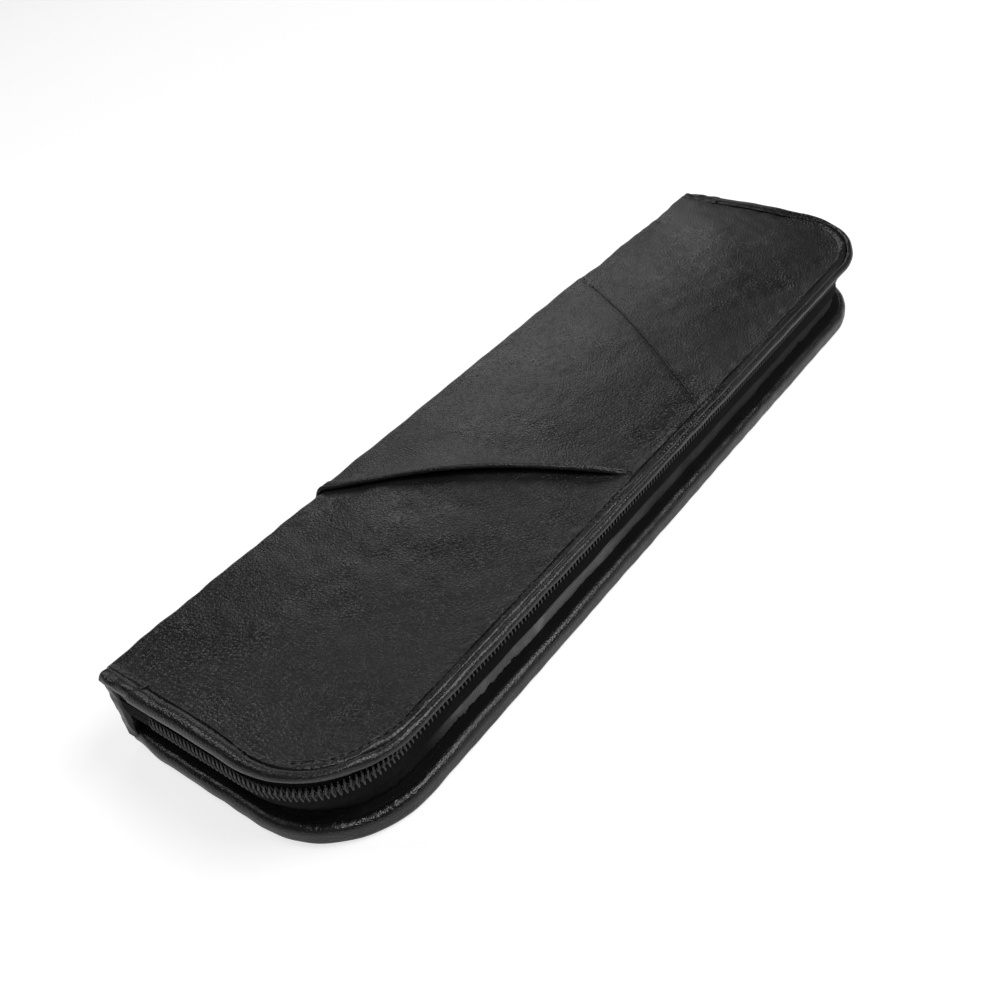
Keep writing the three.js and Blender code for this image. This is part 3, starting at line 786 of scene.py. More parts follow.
@dataclass(frozen=True)
class Effects:
    """The node groups that several finishes share."""

    grain: bpy.types.NodeTree
    weave: bpy.types.NodeTree
    wear: bpy.types.NodeTree


class Surface(NodeBoard):
    """The board of a new material, with its shader and the places that its patterns follow."""

    def __init__(self, finish: Finish, effects: Effects) -> None:
        """Starts the finish's material."""
        self.material = bpy.data.materials.new(f"{finish.value}_look")
        self.material.use_nodes = True
        super().__init__(self.material.node_tree)
        self.effects = effects
        self.shader = self.tree.nodes["Principled BSDF"].inputs
        coordinates = self.add("ShaderNodeTexCoord").outputs
        self.place, self.flat = coordinates["Object"], coordinates["UV"]

    def effect(self, tree: bpy.types.NodeTree, inputs: dict[str, object]) -> bpy.types.bpy_prop_collection:
        """Places a shared group with its own values, and gives its outputs."""
        return self.add("ShaderNodeGroup", inputs, node_tree=tree).outputs

    def worn(self, amount: float) -> bpy.types.bpy_prop_collection:
        """Places the wear, and gives its masks."""
        return self.effect(self.effects.wear, {"Vector": self.place, "Amount": amount})

    def close(self, colour: Socket, rough: Socket, height: Socket, depth: float, strength: float = 1.0) -> None:
        """Feeds the shader.

        Args:
            colour: Colour over the surface.
            rough: Roughness over the surface.
            height: Height of its relief, 0 to 1.
            depth: Depth of the relief, in metres.
            strength: Share of the relief that shows.
        """
        self.feed(self.shader["Base Color"], colour)
        self.feed(self.shader["Roughness"], rough)
        inputs = {"Height": height, "Distance": depth, "Strength": strength}
        self.feed(self.shader["Normal"], self.add("ShaderNodeBump", inputs).outputs["Normal"])


@dataclass(frozen=True)
class LeatherLook:
    """Black leather look with pebbled grain.

    Colour is its grey level, pebbles is a number a metre, creasing is the creases' weight, and depth is the
    grain's depth in metres.
    """

    colour: float
    roughness: float
    pebbles: float
    creasing: float
    depth: float
    # Painted shade: the grey that the grain's valleys and creases are darkened towards.
    crease_shade_grey: float = 0.002
    dust_grey: float = 0.2
    dust: float = 0.12

    def build(self, finish: Finish, effects: Effects) -> bpy.types.Material:
        """Makes the material."""
        board = Surface(finish, effects)
        inputs = {"Vector": board.place, "Pebbles": self.pebbles, "Creasing": self.creasing}
        grain = board.effect(effects.grain, inputs)
        wear = board.worn(1.0)
        dark = (self.colour * 0.75, self.colour * 0.75, self.colour * 0.8, 1)
        light = (self.colour * 1.5, self.colour * 1.5, self.colour * 1.55, 1)
        body = board.blend(board.span(grain["Cloud"], 0.3, 0.7), dark, light)
        dip = board.math("MAXIMUM", board.times(grain["Valley"], 0.6), grain["Crease"])
        # Painted shade in the grain's valleys and creases: the colour darkens towards a near-black grey there.
        body = board.blend(board.times(dip, 0.8), body, (self.crease_shade_grey,) * 3 + (1,))
        body = board.blend(board.times(wear["Specks"], self.dust), body, (self.dust_grey,) * 3 + (1,))
        rough = board.span(grain["Cloud"], 0.25, 0.75, self.roughness - 0.06, self.roughness + 0.07)
        rough = board.math("SUBTRACT", rough, board.times(wear["Rubbed"], 0.06))
        rough = board.math("ADD", rough, board.times(dip, 0.14))
        board.close(body, rough, grain["Height"], self.depth)
        return board.material


@dataclass(frozen=True)
class ClothLook:
    """Woven cloth on a piece's own flat coordinates.

    Gap is the colour between the threads and crown the colour on them, threads is the number a metre along
    and across, depth is a thread's height in metres, and worn is the amount of lint and fading. Cloth with
    shaded ends darkens along its length with painted shade, on both sides of a lit stretch of its near half.
    """

    gap: tuple[float, float, float]
    crown: tuple[float, float, float]
    threads: tuple[float, float]
    depth: float
    roughness: float = 0.9
    worn: float = 0.4
    # Painted shade along the cloth's length: darker towards both ends, lighter on a lit stretch of its near
    # half.
    shaded_ends: bool = False
    lit_from: tuple[float, float] = (-0.185, -0.15)
    lit_to: tuple[float, float] = (-0.075, 0.01)
    far_shade: float = 0.82
    end_shade_grey: float = 0.012
    lint_grey: float = 0.3
    sheen_level: float = 0.15

    def build(self, finish: Finish, effects: Effects) -> bpy.types.Material:
        """Makes the material."""
        board = Surface(finish, effects)
        inputs = {"Vector": board.flat, "Warp": self.threads[0], "Weft": self.threads[1]}
        weave = board.effect(effects.weave, inputs)
        wear = board.worn(self.worn)
        body = board.blend(weave["Crown"], (*self.gap, 1), (*self.crown, 1))
        faded = tuple(min(1.0, 1.5 * c + 0.002) for c in self.crown)
        body = board.blend(wear["Rubbed"], body, (*faded, 1))
        # Painted shade: the cloth darkens towards both ends of its length, away from the stretch where it faces
        # the light.
        if self.shaded_ends:
            along = board.add("ShaderNodeSeparateXYZ", {"Vector": board.flat}).outputs["X"]
            near = board.span(along, *self.lit_from, 1.0, 0.0)
            far = board.span(along, *self.lit_to, 0.0, self.far_shade)
            body = board.blend(board.math("MAXIMUM", near, far), body, (self.end_shade_grey,) * 3 + (1,))
        body = board.blend(board.times(wear["Specks"], 0.5), body, (self.lint_grey,) * 3 + (1,))
        rough = board.span(weave["Crown"], 0.0, 1.0, self.roughness, self.roughness - 0.12)
        board.shader["Specular IOR Level"].default_value = self.sheen_level
        board.close(body, rough, weave["Height"], self.depth)
        return board.material


@dataclass(frozen=True)
class HardLook:
    """A hard finish with fine speckle and rubbed spots.

    Rubbed is the colour where it is rubbed, metallic is 0 for paint or plastic, and depth is the depth of its
    texture in metres.
    """

    colour: tuple[float, float, float]
    rubbed: tuple[float, float, float]
    roughness: float
    metallic: float
    depth: float
    speckle_scale: float = 1500.0

    def build(self, finish: Finish, effects: Effects) -> bpy.types.Material:
        """Makes the material."""
        board = Surface(finish, effects)
        share = board.times(board.worn(1.0)["Rubbed"], 0.6)
        speckle = board.noise(board.place, self.speckle_scale, 3.0).outputs["Fac"]
        body = board.blend(share, (*self.colour, 1), (*self.rubbed, 1))
        rough = board.span(speckle, 0.3, 0.7, self.roughness - 0.06, self.roughness + 0.08)
        board.shader["Metallic"].default_value = self.metallic
        board.close(body, rough, speckle, self.depth, 0.6)
        return board.material


LOOKS: dict[Finish, LeatherLook | ClothLook | HardLook] = {
    Finish.COVER: LeatherLook(colour=0.0072, roughness=0.29, pebbles=600.0, creasing=1.0, depth=0.00022),
    Finish.BINDING: LeatherLook(colour=0.0070, roughness=0.27, pebbles=600.0, creasing=0.5, depth=0.00014),
    Finish.LINING: ClothLook(
        (0.010, 0.010, 0.011), (0.024, 0.024, 0.027), threads=(1300.0, 1300.0), depth=0.00012, worn=0.1
    ),
    Finish.WEB: ClothLook(
        (0.09, 0.09, 0.091), (0.28, 0.28, 0.283), threads=(1100.0, 800.0), depth=0.0003, roughness=0.95,
        worn=0.6, shaded_ends=True,
    ),
    Finish.TAPE: ClothLook(
        (0.002, 0.002, 0.002), (0.006, 0.006, 0.0065), threads=(1500.0, 1900.0), depth=0.0002
    ),
    Finish.ELASTIC: ClothLook(
        (0.006, 0.006, 0.007), (0.020, 0.020, 0.022), threads=(400.0, 1500.0), depth=0.0003
    ),
    Finish.COIL: HardLook(
        (0.008, 0.008, 0.009), (0.02, 0.02, 0.021), roughness=0.30, metallic=0.0, depth=0.00004
    ),
    Finish.METAL: HardLook(
        (0.022, 0.022, 0.024), (0.16, 0.16, 0.16), roughness=0.32, metallic=0.7, depth=0.00003
    ),
    Finish.BOARD: HardLook((0.15, 0.11, 0.07), (0.2, 0.15, 0.1), roughness=0.85, metallic=0.0, depth=0.0002),
}


class Paintbox:
    """Builds the shared effects once, and each finish's material from them."""

    def __init__(self) -> None:
        """Builds the groups and the materials."""
        effects = Effects(LeatherGrain().build(), ThreadWeave().build(), SurfaceWear().build())
        self.materials = {finish: look.build(finish, effects) for finish, look in LOOKS.items()}


@dataclass(frozen=True)
class StitchRow:
    """A row of sewn stitches along a line: short threads that rise from one hole and dive into the next."""

    pitch: float = 0.0040
    length: float = 0.0031
    radius: float = 0.00024
    rise: float = 0.00022
    rings: int = 7
    sides: int = 6

    def add_to(self, draft: MeshDraft, line: Array, ups: Array) -> None:
        """Adds the stitches of one line.

        A stitch's centre is at x along the line and at rise (1 - (2 x / length)^2) - rise / 2 above it, and
        its radius narrows to the ends.

        Args:
            draft: Where the bodies go.
            line: Points of the line.
            ups: Unit vectors that point out of the surface at these points, or one for all of them.
        """
        run, ups = lengths_along(line), np.broadcast_to(ups, line.shape)

        def read(rows: Array, places: Array) -> Array:
            """The rows' values at lengths along the line."""
            return np.stack([np.interp(places, run, rows[:, k]) for k in range(3)], 1)

        count = max(1, int(run[-1] / self.pitch))
        centres = (np.arange(count) + 0.5) * run[-1] / count
        middle = read(line, centres)
        ahead, behind = (read(line, centres + way * self.pitch / 8) for way in (1, -1))
        forward = unit(ahead - behind)
        up = read(ups, centres)
        up = unit(up - forward * (up * forward).sum(1, keepdims=True))
        beside = np.cross(up, forward)
        share = np.linspace(-1, 1, self.rings)
        place, height = share * self.length / 2, self.rise * (1 - share**2) - self.rise / 2
        thick = self.radius * np.sqrt(1.02 - share**4)
        turn = np.linspace(0, 2 * math.pi, self.sides, endpoint=False)
        for k in range(count):
            spine = middle[k] + place[:, None] * forward[k] + height[:, None] * up[k]
            ring = np.cos(turn)[:, None] * beside[k] + np.sin(turn)[:, None] * up[k]
            draft.add_tube(spine[:, None, :] + thick[:, None, None] * ring[None])


class Workshop:
    """Holds what every sub-assembly needs, and puts finished pieces on their bodies."""

    def __init__(self, form: CaseForm, paints: dict[Finish, bpy.types.Material]) -> None:
        """Keeps the sizes and the materials."""
        self.form = form
        self.paints = paints

    def make(self, draft: MeshDraft, name: str, finish: Finish, nodes: Sequence[str] = (),
             sharp_degrees: float = 48) -> bpy.types.Object:
        """Builds a piece with its finish's material, and hides the CAD nodes that it replaces.

        Args:
            draft: Its bodies.
            name: Its name.
            finish: Its finish.
            nodes: The nodes that it replaces, if any.
            sharp_degrees: Edges that turn more than this stay sharp.

        Returns:
            The piece, not yet on a body.
        """
        piece = draft.build(name, self.paints[finish], sharp_degrees)
        if nodes:
            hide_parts(*nodes)
        return piece

    def riding(self, body: str, draft: MeshDraft, name: str, finish: Finish, nodes: Sequence[str] = (),
               sharp_degrees: float = 48) -> bpy.types.Object:
        """The same as make, for a piece that rides on the one body."""
        piece = self.make(draft, name, finish, nodes, sharp_degrees)
        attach(piece, body)
        return piece

    def blended(self, piece: bpy.types.Object, side: Side, on_spine: Sequence[float],
                on_cover: Sequence[float]) -> bpy.types.Object:
        """Bakes a piece's transform into its mesh, the same for either cover.

        Args:
            piece: The piece.
            side: The cover.
            on_spine: Not used.
            on_cover: Not used.

        Returns:
            The piece.
        """
        if side is Side.LID:
            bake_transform(piece)
        else:
            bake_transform(piece)
        return piece

    def across_fold(self, piece: bpy.types.Object, side: Side) -> bpy.types.Object:
        """Hands a piece to blended with the two ends of the fold beside a cover, which bakes its transform."""
        form = self.form
        fold_z = form.fold_z(side)
        on_spine = (form.fold_x - form.fold_radius, 0.0, fold_z)
        return self.blended(piece, side, on_spine, (form.fold_x, 0.0, fold_z + side.value * form.fold_radius))


class SubAssembly(Protocol):
    """Anything that makes pieces of the case."""

    def build(self) -> list[bpy.types.Object]:
        """Makes the pieces."""


@dataclass(frozen=True)
class CoverPad:
    """A padded cover: leather over foam, carried round the fold and on to the middle of the spine."""

    shop: Workshop
    side: Side
    step: float = 0.0018
    row_step: float = 0.0022
    dimple: float = 0.00026
    dimple_length: float = 0.045
    fine_share: float = 0.4
    fine_length: float = 0.011
    pucker: float = 0.00009
    pucker_length: float = 0.0042
    pucker_span: tuple[float, float] = (0.84, 0.95)
    seam_round: float = 0.0012
    seam_sink: float = 0.7
    fill: float = 0.7

    def lift(self, run: Array, y: Array) -> Array:
        """How far the leather stands off its plain shape: slow dimples, finer ones, and seam puckers.

        Args:
            run: Length across.
            y: Place along the case.

        Returns:
            The lift in metres.
        """
        form = self.shop.form
        seed = self.side.pick(31, 11)
        on_cover = run > 0
        slow = Ripple(self.dimple_length, seed).at(run, y) * self.dimple
        fine = Ripple(self.fine_length, seed + 1).at(run, y) * self.dimple * self.fine_share
        if self.side is Side.BASE:
            return -np.abs(slow + fine) * on_cover * 0.5
        edge = form.share(form.fold_x + np.maximum(run, 0), y)
        puckered = eased(edge, *self.pucker_span) * on_cover
        return slow + fine + Ripple(self.pucker_length, seed + 2).at(run, y) * self.pucker * puckered

    def build(self) -> list[bpy.types.Object]:
        """Makes the cover's piece."""
        form, side = self.shop.form, self.side
        runs = form.runs(form.stack_end_x, form.seam_z, side, self.step)
        reach = form.half_length_at(form.fold_x + np.maximum(runs, 0))
        share = np.linspace(-1, 1, round(2 * form.rim.half_length / self.row_step))
        y = share[:, None] * reach[None, :]
        run = np.broadcast_to(runs, y.shape)
        seam = eased(run, runs[0], runs[0] + self.seam_round)
        lift = self.lift(run, y) - (1 - seam) * form.skin_thickness * self.seam_sink
        top = form.leather(side, run, y, lift)
        under = form.leather(side, run, y, -form.skin_thickness)
        foam_z = side.pick(form.foam_under, form.height - form.foam_under)
        under[..., 2] += (foam_z - under[..., 2]) * eased(run, 0.0, form.stack_x - form.fold_x)
        nodes = [f"{side.body}_skin", f"{side.body}_foam", side.fold, *side.pick([], ["spine_skin"])]
        draft = MeshDraft().add_slab(top, under, y, run)
        piece = self.shop.make(draft, f"{side.body}_padded_cover", Finish.COVER, nodes, SOFT_EDGE_DEGREES)
        return [self.shop.across_fold(piece, side)]


@dataclass(frozen=True)
class PocketPanel:
    """The open pocket panel over the lid, with a folded hem along each slanting seam."""

    shop: Workshop
    near_start: tuple[float, float] = (-0.0574, -0.1044)
    near_bend: tuple[float, float] = (0.0182, -0.0521)
    near_end: tuple[float, float] = (0.0565, -0.0295)
    far_start: tuple[float, float] = (-0.0574, 0.1152)
    far_end: tuple[float, float] = (0.0565, 0.0384)
    end_x: float = 0.0592
    mouth_end_x: float = 0.0535
    thickness: float = 0.0009
    hem_width: float = 0.006
    hem_thickness: float = 0.0007
    hem_step: float = 0.0006
    edge_round: float = 0.0008
    far_thinning: float = 0.35
    gape: float = 0.0030
    mouth_reach: float = 0.026
    gap: float = 0.0004
    groove: float = 0.00045
    groove_width: float = 0.00035
    puff: float = 0.00025
    puff_inset: float = 0.0011
    puff_width: float = 0.0005
    stitch_inset: float = 0.0020
    tuck: float = 0.0011
    tuck_run: float = 0.016
    ripples: tuple[tuple[float, float], ...] = ((0.03, 0.00012), (0.009, 0.00005))
    row_millimetres: tuple[float, ...] = (
        0, 0.1, 0.25, 0.45, 0.7, 1.0, 1.3, 1.6, 1.8, 2.0, 2.2, 2.4, 2.7, 3.1, 3.8, 4.7, 5.5, 6.1, 6.8,
    )

    def near_y(self, x: Array) -> Array:
        """Y of the near seam: a quadratic curve over the lid, and its straight continuation past the fold."""
        t = np.linspace(0, 1, 400)
        weights = np.stack([(1 - t) ** 2, 2 * t * (1 - t), t**2])
        curve = weights.T @ np.array([self.near_start, self.near_bend, self.near_end])
        (x0, y0), (x1, y1) = self.near_start, self.near_bend
        straight = y0 + (x - x0) * (y1 - y0) / (x1 - x0)
        return np.where(x < x0, straight, np.interp(x, curve[:, 0], curve[:, 1]))

    def far_y(self, x: Array) -> Array:
        """Y of the far seam, which is straight."""
        (x0, y0), (x1, y1) = self.far_start, self.far_end
        return y0 + (x - x0) * (y1 - y0) / (x1 - x0)

    def rows(self, lengths: Array) -> Array:
        """Distances from the near seam: close together over edge, stitches, hem and mouth, then wide.

        Args:
            lengths: Distance between the seams, a column each.

        Returns:
            The distance at each row and column.
        """
        edge = np.array(self.row_millimetres) * 0.001
        mouth = np.concatenate([edge, np.arange(0.008, self.mouth_reach, 0.0016)])
        middle = np.linspace(0, 1, 60)[1:-1]
        near_rows = np.repeat(mouth[:, None], len(lengths), 1)
        middle_rows = mouth[-1] + middle[:, None] * (lengths - mouth[-1] - edge[-1])[None, :]
        return np.concatenate([near_rows, middle_rows, lengths[None, :] - edge[::-1][:, None]])

    def height(self, from_near: Array, from_far: Array) -> Array:
        """Thickness of the panel: rounded at its edges, double at its hem, grooved under the stitches."""
        nearest = np.minimum(from_near, from_far)
        hem = 1 - eased(from_near, self.hem_width - self.hem_step, self.hem_width + self.hem_step)
        flattened = 1 - eased(from_far, self.hem_step, self.hem_width)
        body = self.thickness + self.hem_thickness * hem - self.thickness * self.far_thinning * flattened
        bare = 1 - np.clip(nearest / self.edge_round, 0, 1)
        rounded = np.sqrt(np.clip(1 - bare**2, 0.04, 1))
        groove = self.groove * np.exp(-(((nearest - self.stitch_inset) / self.groove_width) ** 2))
        puffed = self.puff * np.exp(-(((nearest - self.puff_inset) / self.puff_width) ** 2))
        return body * rounded - groove + puffed * (1 - 0.8 * flattened)

    def build(self) -> list[bpy.types.Object]:
        """Makes the panel and its stitches."""
        form = self.shop.form
        end_x = self.end_x
        runs = form.runs(end_x, form.seam_z + 0.0006, Side.LID, 0.0016)
        path_x = form.fold_x + runs
        near, far = self.near_y(path_x), self.far_y(path_x)
        lengths = far - near
        from_near = self.rows(lengths)
        y = near[None, :] + from_near
        from_far = lengths[None, :] - from_near
        run = np.broadcast_to(runs, y.shape)
        fade = np.clip(1 - from_near / self.mouth_reach, 0, 1) ** 2
        mouth_span = np.clip((path_x - self.near_start[0]) / (self.mouth_end_x - self.near_start[0]), 0, 1)
        arch = np.sin(math.pi * mouth_span) ** 0.8
        tucked = eased(path_x, end_x - self.tuck_run, end_x)[None, :] * self.tuck
        soft = sum(Ripple(wave, 51 + k).at(run, y) * size for k, (wave, size) in enumerate(self.ripples))
        low = self.gap * eased(from_far, 0.0, 0.008) * eased(end_x - path_x, 0.0, 0.012)[None, :]
        low += self.gape * fade * arch
        top = form.leather(Side.LID, run, y, low + self.height(from_near, from_far) + soft - tucked)
        under = form.leather(Side.LID, run, y, low - tucked * 0.5)
        draft = MeshDraft().add_slab(top, under, y, run)
        panel = self.shop.make(draft, "pocket_panel_leather", Finish.COVER, ["pocket_panel"], 70)
        self.shop.across_fold(panel, Side.LID)
        inset = self.stitch_inset
        hemmed = self.gap + self.thickness + self.hem_thickness - self.groove + 0.0001
        opened = self.gape * (1 - inset / self.mouth_reach) ** 2 * arch
        flattened = self.thickness * (1 - self.far_thinning) - self.groove + 0.0002
        stitches = MeshDraft()
        for seam_y, rise, gape in ((near + inset, hemmed, opened), (far - inset, flattened, 0)):
            line = form.leather(Side.LID, runs, seam_y, rise + gape - tucked[0])
            above = form.leather(Side.LID, runs, seam_y, rise + 0.001)
            ups = above - form.leather(Side.LID, runs, seam_y, rise)
            StitchRow().add_to(stitches, line, ups * 1000)
        thread = self.shop.make(stitches, "pocket_panel_stitches", Finish.ELASTIC)
        return [panel, self.shop.across_fold(thread, Side.LID)]


@dataclass(frozen=True)
class Binding:
    """The leather roll sewn over a cover's zipped edge: a bead, a groove, and a shoulder to the stitches."""

    shop: Workshop
    side: Side
    long_radius: float = 0.0021
    end_radius: float = 0.0042
    base_extra: float = 0.0010
    top_radius: float = 0.0036
    width: float = 0.0084
    wall: float = 0.0047
    depth: float = 0.0103
    groove_degrees: float = 40.0
    tucked_degrees: float = 150.0
    groove: float = 0.0008
    shoulder: float = 0.0006
    tuck: float = 0.0026
    step: float = 0.0010
    stitch_inset: float = 0.0069
    slant: float = 0.0075
    slant_run: float = 0.02
    ripple: float = 0.00008
    pucker: float = 0.00009
    end_round: float = 0.0022
    pinch_run: float = 0.020
    pinch: float = 0.42
    tucked_takes: tuple[float, ...] = (0.72, 0.62, 0.55, 0.5, 0.4)

    def outer_points(self) -> list[tuple[float, float]]:
        """The section under the bead: on the lid the leather tucks in, on the base it is a second roll."""
        width, deep = self.width, self.depth
        if self.side is Side.LID:
            tuck = self.tuck
            outer = [(tuck, deep - 0.0033), (tuck, deep - 0.0025), (tuck + 0.0002, deep - 0.0018)]
            outer += [(tuck + 0.0009, deep - 0.0008), (0.0044, deep - 0.0010)]
            return outer + [(0.0060, deep), (width - 0.0002, deep)]
        top = self.top_radius
        rise = np.linspace(0, QUARTER, 14)
        outer = list(zip(top - top * np.cos(rise), deep - top + top * np.sin(rise)))
        outer += [(top + 0.0006, deep - 0.0003), (top + 0.0012, deep - 0.0008)]
        return outer + [(0.0060, deep - 0.0009), (width - 0.0002, deep - 0.0004)]

    def section(self, end: Array, corner: Array) -> tuple[Array, Array, Array]:
        """The closed section at each station, a row a station.

        The bead is a circle's arc of radius r, at insets r + r sin(turn) and depths r - r cos(turn). From the
        groove the shoulder swells by sin(pi u^0.55) and sinks to the stitches. The points under the bead and
        on the wall are the same at every station.

        Args:
            end: 1 on the short edges, 0 along the long one.
            corner: 1 on the corners.

        Returns:
            Insets, depths from the outer face, and how much of the lid's drop each point takes.
        """
        end, corner = end[:, None], corner[:, None]
        width, deep = self.width, self.depth
        r = self.long_radius + (self.end_radius - self.long_radius) * end + self.side.pick(self.base_extra, 0)
        groove = self.groove * (1 - 0.85 * end + 0.9 * corner)
        turn = math.radians(self.groove_degrees)
        arc = np.linspace(turn, self.side.pick(-QUARTER, math.radians(-self.tucked_degrees)), 26)[None, :]
        root = r * (1 + math.sin(turn)) + 0.0003
        low = r * (1 - math.cos(turn)) + groove
        u = np.linspace(1, 0, 14)[None, :]
        swell = self.shoulder * np.sin(math.pi * u**0.55) * (1 + 0.4 * corner)
        edge = self.side.pick(0.0006, 0.0011)
        lip = [(width - 0.0003, 0.0015), (width, edge + 0.0003), (width, edge + 0.0002)]
        lip.append((width - 0.0002, edge + 0.0001))
        inner = [(width - 0.0002, deep - 0.0011), (self.wall, deep - 0.0011), (self.wall, 0.0035)]
        inner.append((self.wall, 0.0015))

        def fixed(points: list[tuple[float, float]]) -> Array:
            """The same points at every station."""
            return np.repeat(np.array(points, float)[None], len(end), 0)

        def spread(insets: Array, depths: Array) -> Array:
            """Insets and depths as one array of points."""
            return np.stack(np.broadcast_arrays(insets, depths), -1)

        bead = spread(r * (1 + np.sin(arc)), r * (1 - np.cos(arc)))
        sloped = spread(root + (width - 0.0004 - root) * u, edge - swell + (low - edge) * (1 - u) ** 4)
        whole = np.concatenate([fixed(lip), sloped, bead, fixed(self.outer_points()), fixed(inner)], 1)
        takes = np.ones(whole.shape[:2])
        turned = len(lip) + sloped.shape[1] + bead.shape[1]
        takes[:, turned:-2] = 0
        if self.side is Side.LID:
            takes[:, turned:turned + len(self.tucked_takes)] = self.tucked_takes
        return whole[..., 0], whole[..., 1], takes

    def roughened(self, points: Array, inset: Array, depth: Array, stations: Array, corner: Array) -> Array:
        """Adds the leather's soft ripples, and the puckers that its stitches pull at the corners."""
        around = np.arange(inset.shape[1])[None, :] * SECTION_COLUMN
        seed = self.side.pick(81, 71)
        soft = Ripple(0.016, seed, (1.0, 0.8)).at(stations[:, None], around) * self.ripple
        creased = Ripple(0.0024, seed + 1, (1.0, 4.0)).at(stations[:, None], around)
        inwards = eased(inset, 0.0006, 0.0035)
        if self.side is Side.BASE:
            inwards = inwards * eased(depth, 0.004, 0.009)
        amount = soft + creased * inwards * self.pucker * (0.25 + corner[:, None])
        shown = inset < self.width - 0.0001
        hidden = (np.abs(inset - self.wall) < 0.0001) | ((depth > 0.004) & (inset > 0.0055))
        return points + outward_normals(points) * (amount * shown * ~hidden)[..., None]

    def rounded_end(self, points: Array, left: Array) -> Array:
        """Closes the bead's cut ends: the section shrinks by sqrt(1 - (1 - left / r)^2) over the last r."""
        share = np.clip(left / self.end_round, 0, 1)
        size = np.sqrt(np.clip(1 - (1 - share) ** 2, 0.05, 1))[:, None, None]
        middle = points[:, 14:60].mean(1, keepdims=True)
        return middle + (points - middle) * size

    def pinched(self, points: Array, stations: Array, start: float) -> Array:
        """Thins the base's bead over its last finger's width at the spine, where it is sewn down flat."""
        rim = self.shop.form.rim
        x = rim.point(stations, self.shop.form.stack_inset, 0.0)[:, 0]
        amount = (1 - eased(x, start, start + self.pinch_run)) * (np.abs(stations) > rim.centre_y)
        middle = (np.sign(stations) * (rim.half_length - self.wall))[:, None]
        y = points[..., 1]
        drawn_in = y + (middle - y) * (self.pinch * amount[:, None])
        moved = points.copy()
        moved[..., 1] = np.where(np.abs(y) > np.abs(middle), drawn_in, y)
        return moved

    def roll(self, rim: Rim, stations: Array, start: float) -> MeshDraft:
        """The roll itself.

        Args:
            rim: The outline that it follows.
            stations: Its stations.
            start: X at which it starts and ends.

        Returns:
            Its draft.
        """
        form = self.shop.form
        corner = rim.corner_share(stations)
        inset, depth, takes = self.section(rim.end_share(stations), corner)
        reach = np.abs(stations)
        last = reach.max()
        placed = np.repeat(stations[:, None], inset.shape[1], 1)
        heights = depth
        if self.side is Side.LID:
            outer = 1 - eased(inset, 0, self.width)
            late = eased(reach, last - self.slant_run, last)[:, None]
            placed = placed + np.sign(stations)[:, None] * self.slant * outer * late
            x = rim.point(placed, np.minimum(inset, self.width), 0.0)[..., 0]
            heights = form.height - depth - form.drop(x) * takes
            inset = inset - form.lean(stations)[:, None]
        points = rim.point(placed, inset, heights)
        points = self.roughened(points, inset, depth, stations, corner)
        if self.side is Side.LID:
            points = self.rounded_end(points, last - reach)
        else:
            points = self.pinched(points, stations, start)
            points[..., 2] = np.maximum(points[..., 2], 0.0)
        return MeshDraft().add_tube(points, stations, np.arange(inset.shape[1] + 1) * SECTION_COLUMN)

    def build(self) -> list[bpy.types.Object]:
        """Makes the binding and its stitches."""
        form, side = self.shop.form, self.side
        rim = side.pick(form.rim, form.lid_rim)
        start = side.pick(form.fold_x - 0.002, form.binding_start_x)
        stations = rim.stations(start, self.step)
        body, nodes = side.body, [f"{side.body}_binding"]
        draft = self.roll(rim, stations, start)
        piece = self.shop.riding(body, draft, f"{body}_bead", Finish.BINDING, nodes, SOFT_EDGE_DEGREES)
        x = rim.point(stations, self.stitch_inset, 0.0)[:, 0]
        height = side.pick(0.00035, form.height - (0.00085 + form.drop(x)))
        inset = self.stitch_inset - side.pick(0.0, form.lean(stations))
        line, up = rim.point(stations, inset, height), np.array([0.0, 0.0, side.value])
        sewn = MeshDraft()
        StitchRow(pitch=0.0036, length=0.0026).add_to(sewn, line, up)
        return [piece, self.shop.riding(body, sewn, f"{body}_bead_stitches", Finish.ELASTIC)]


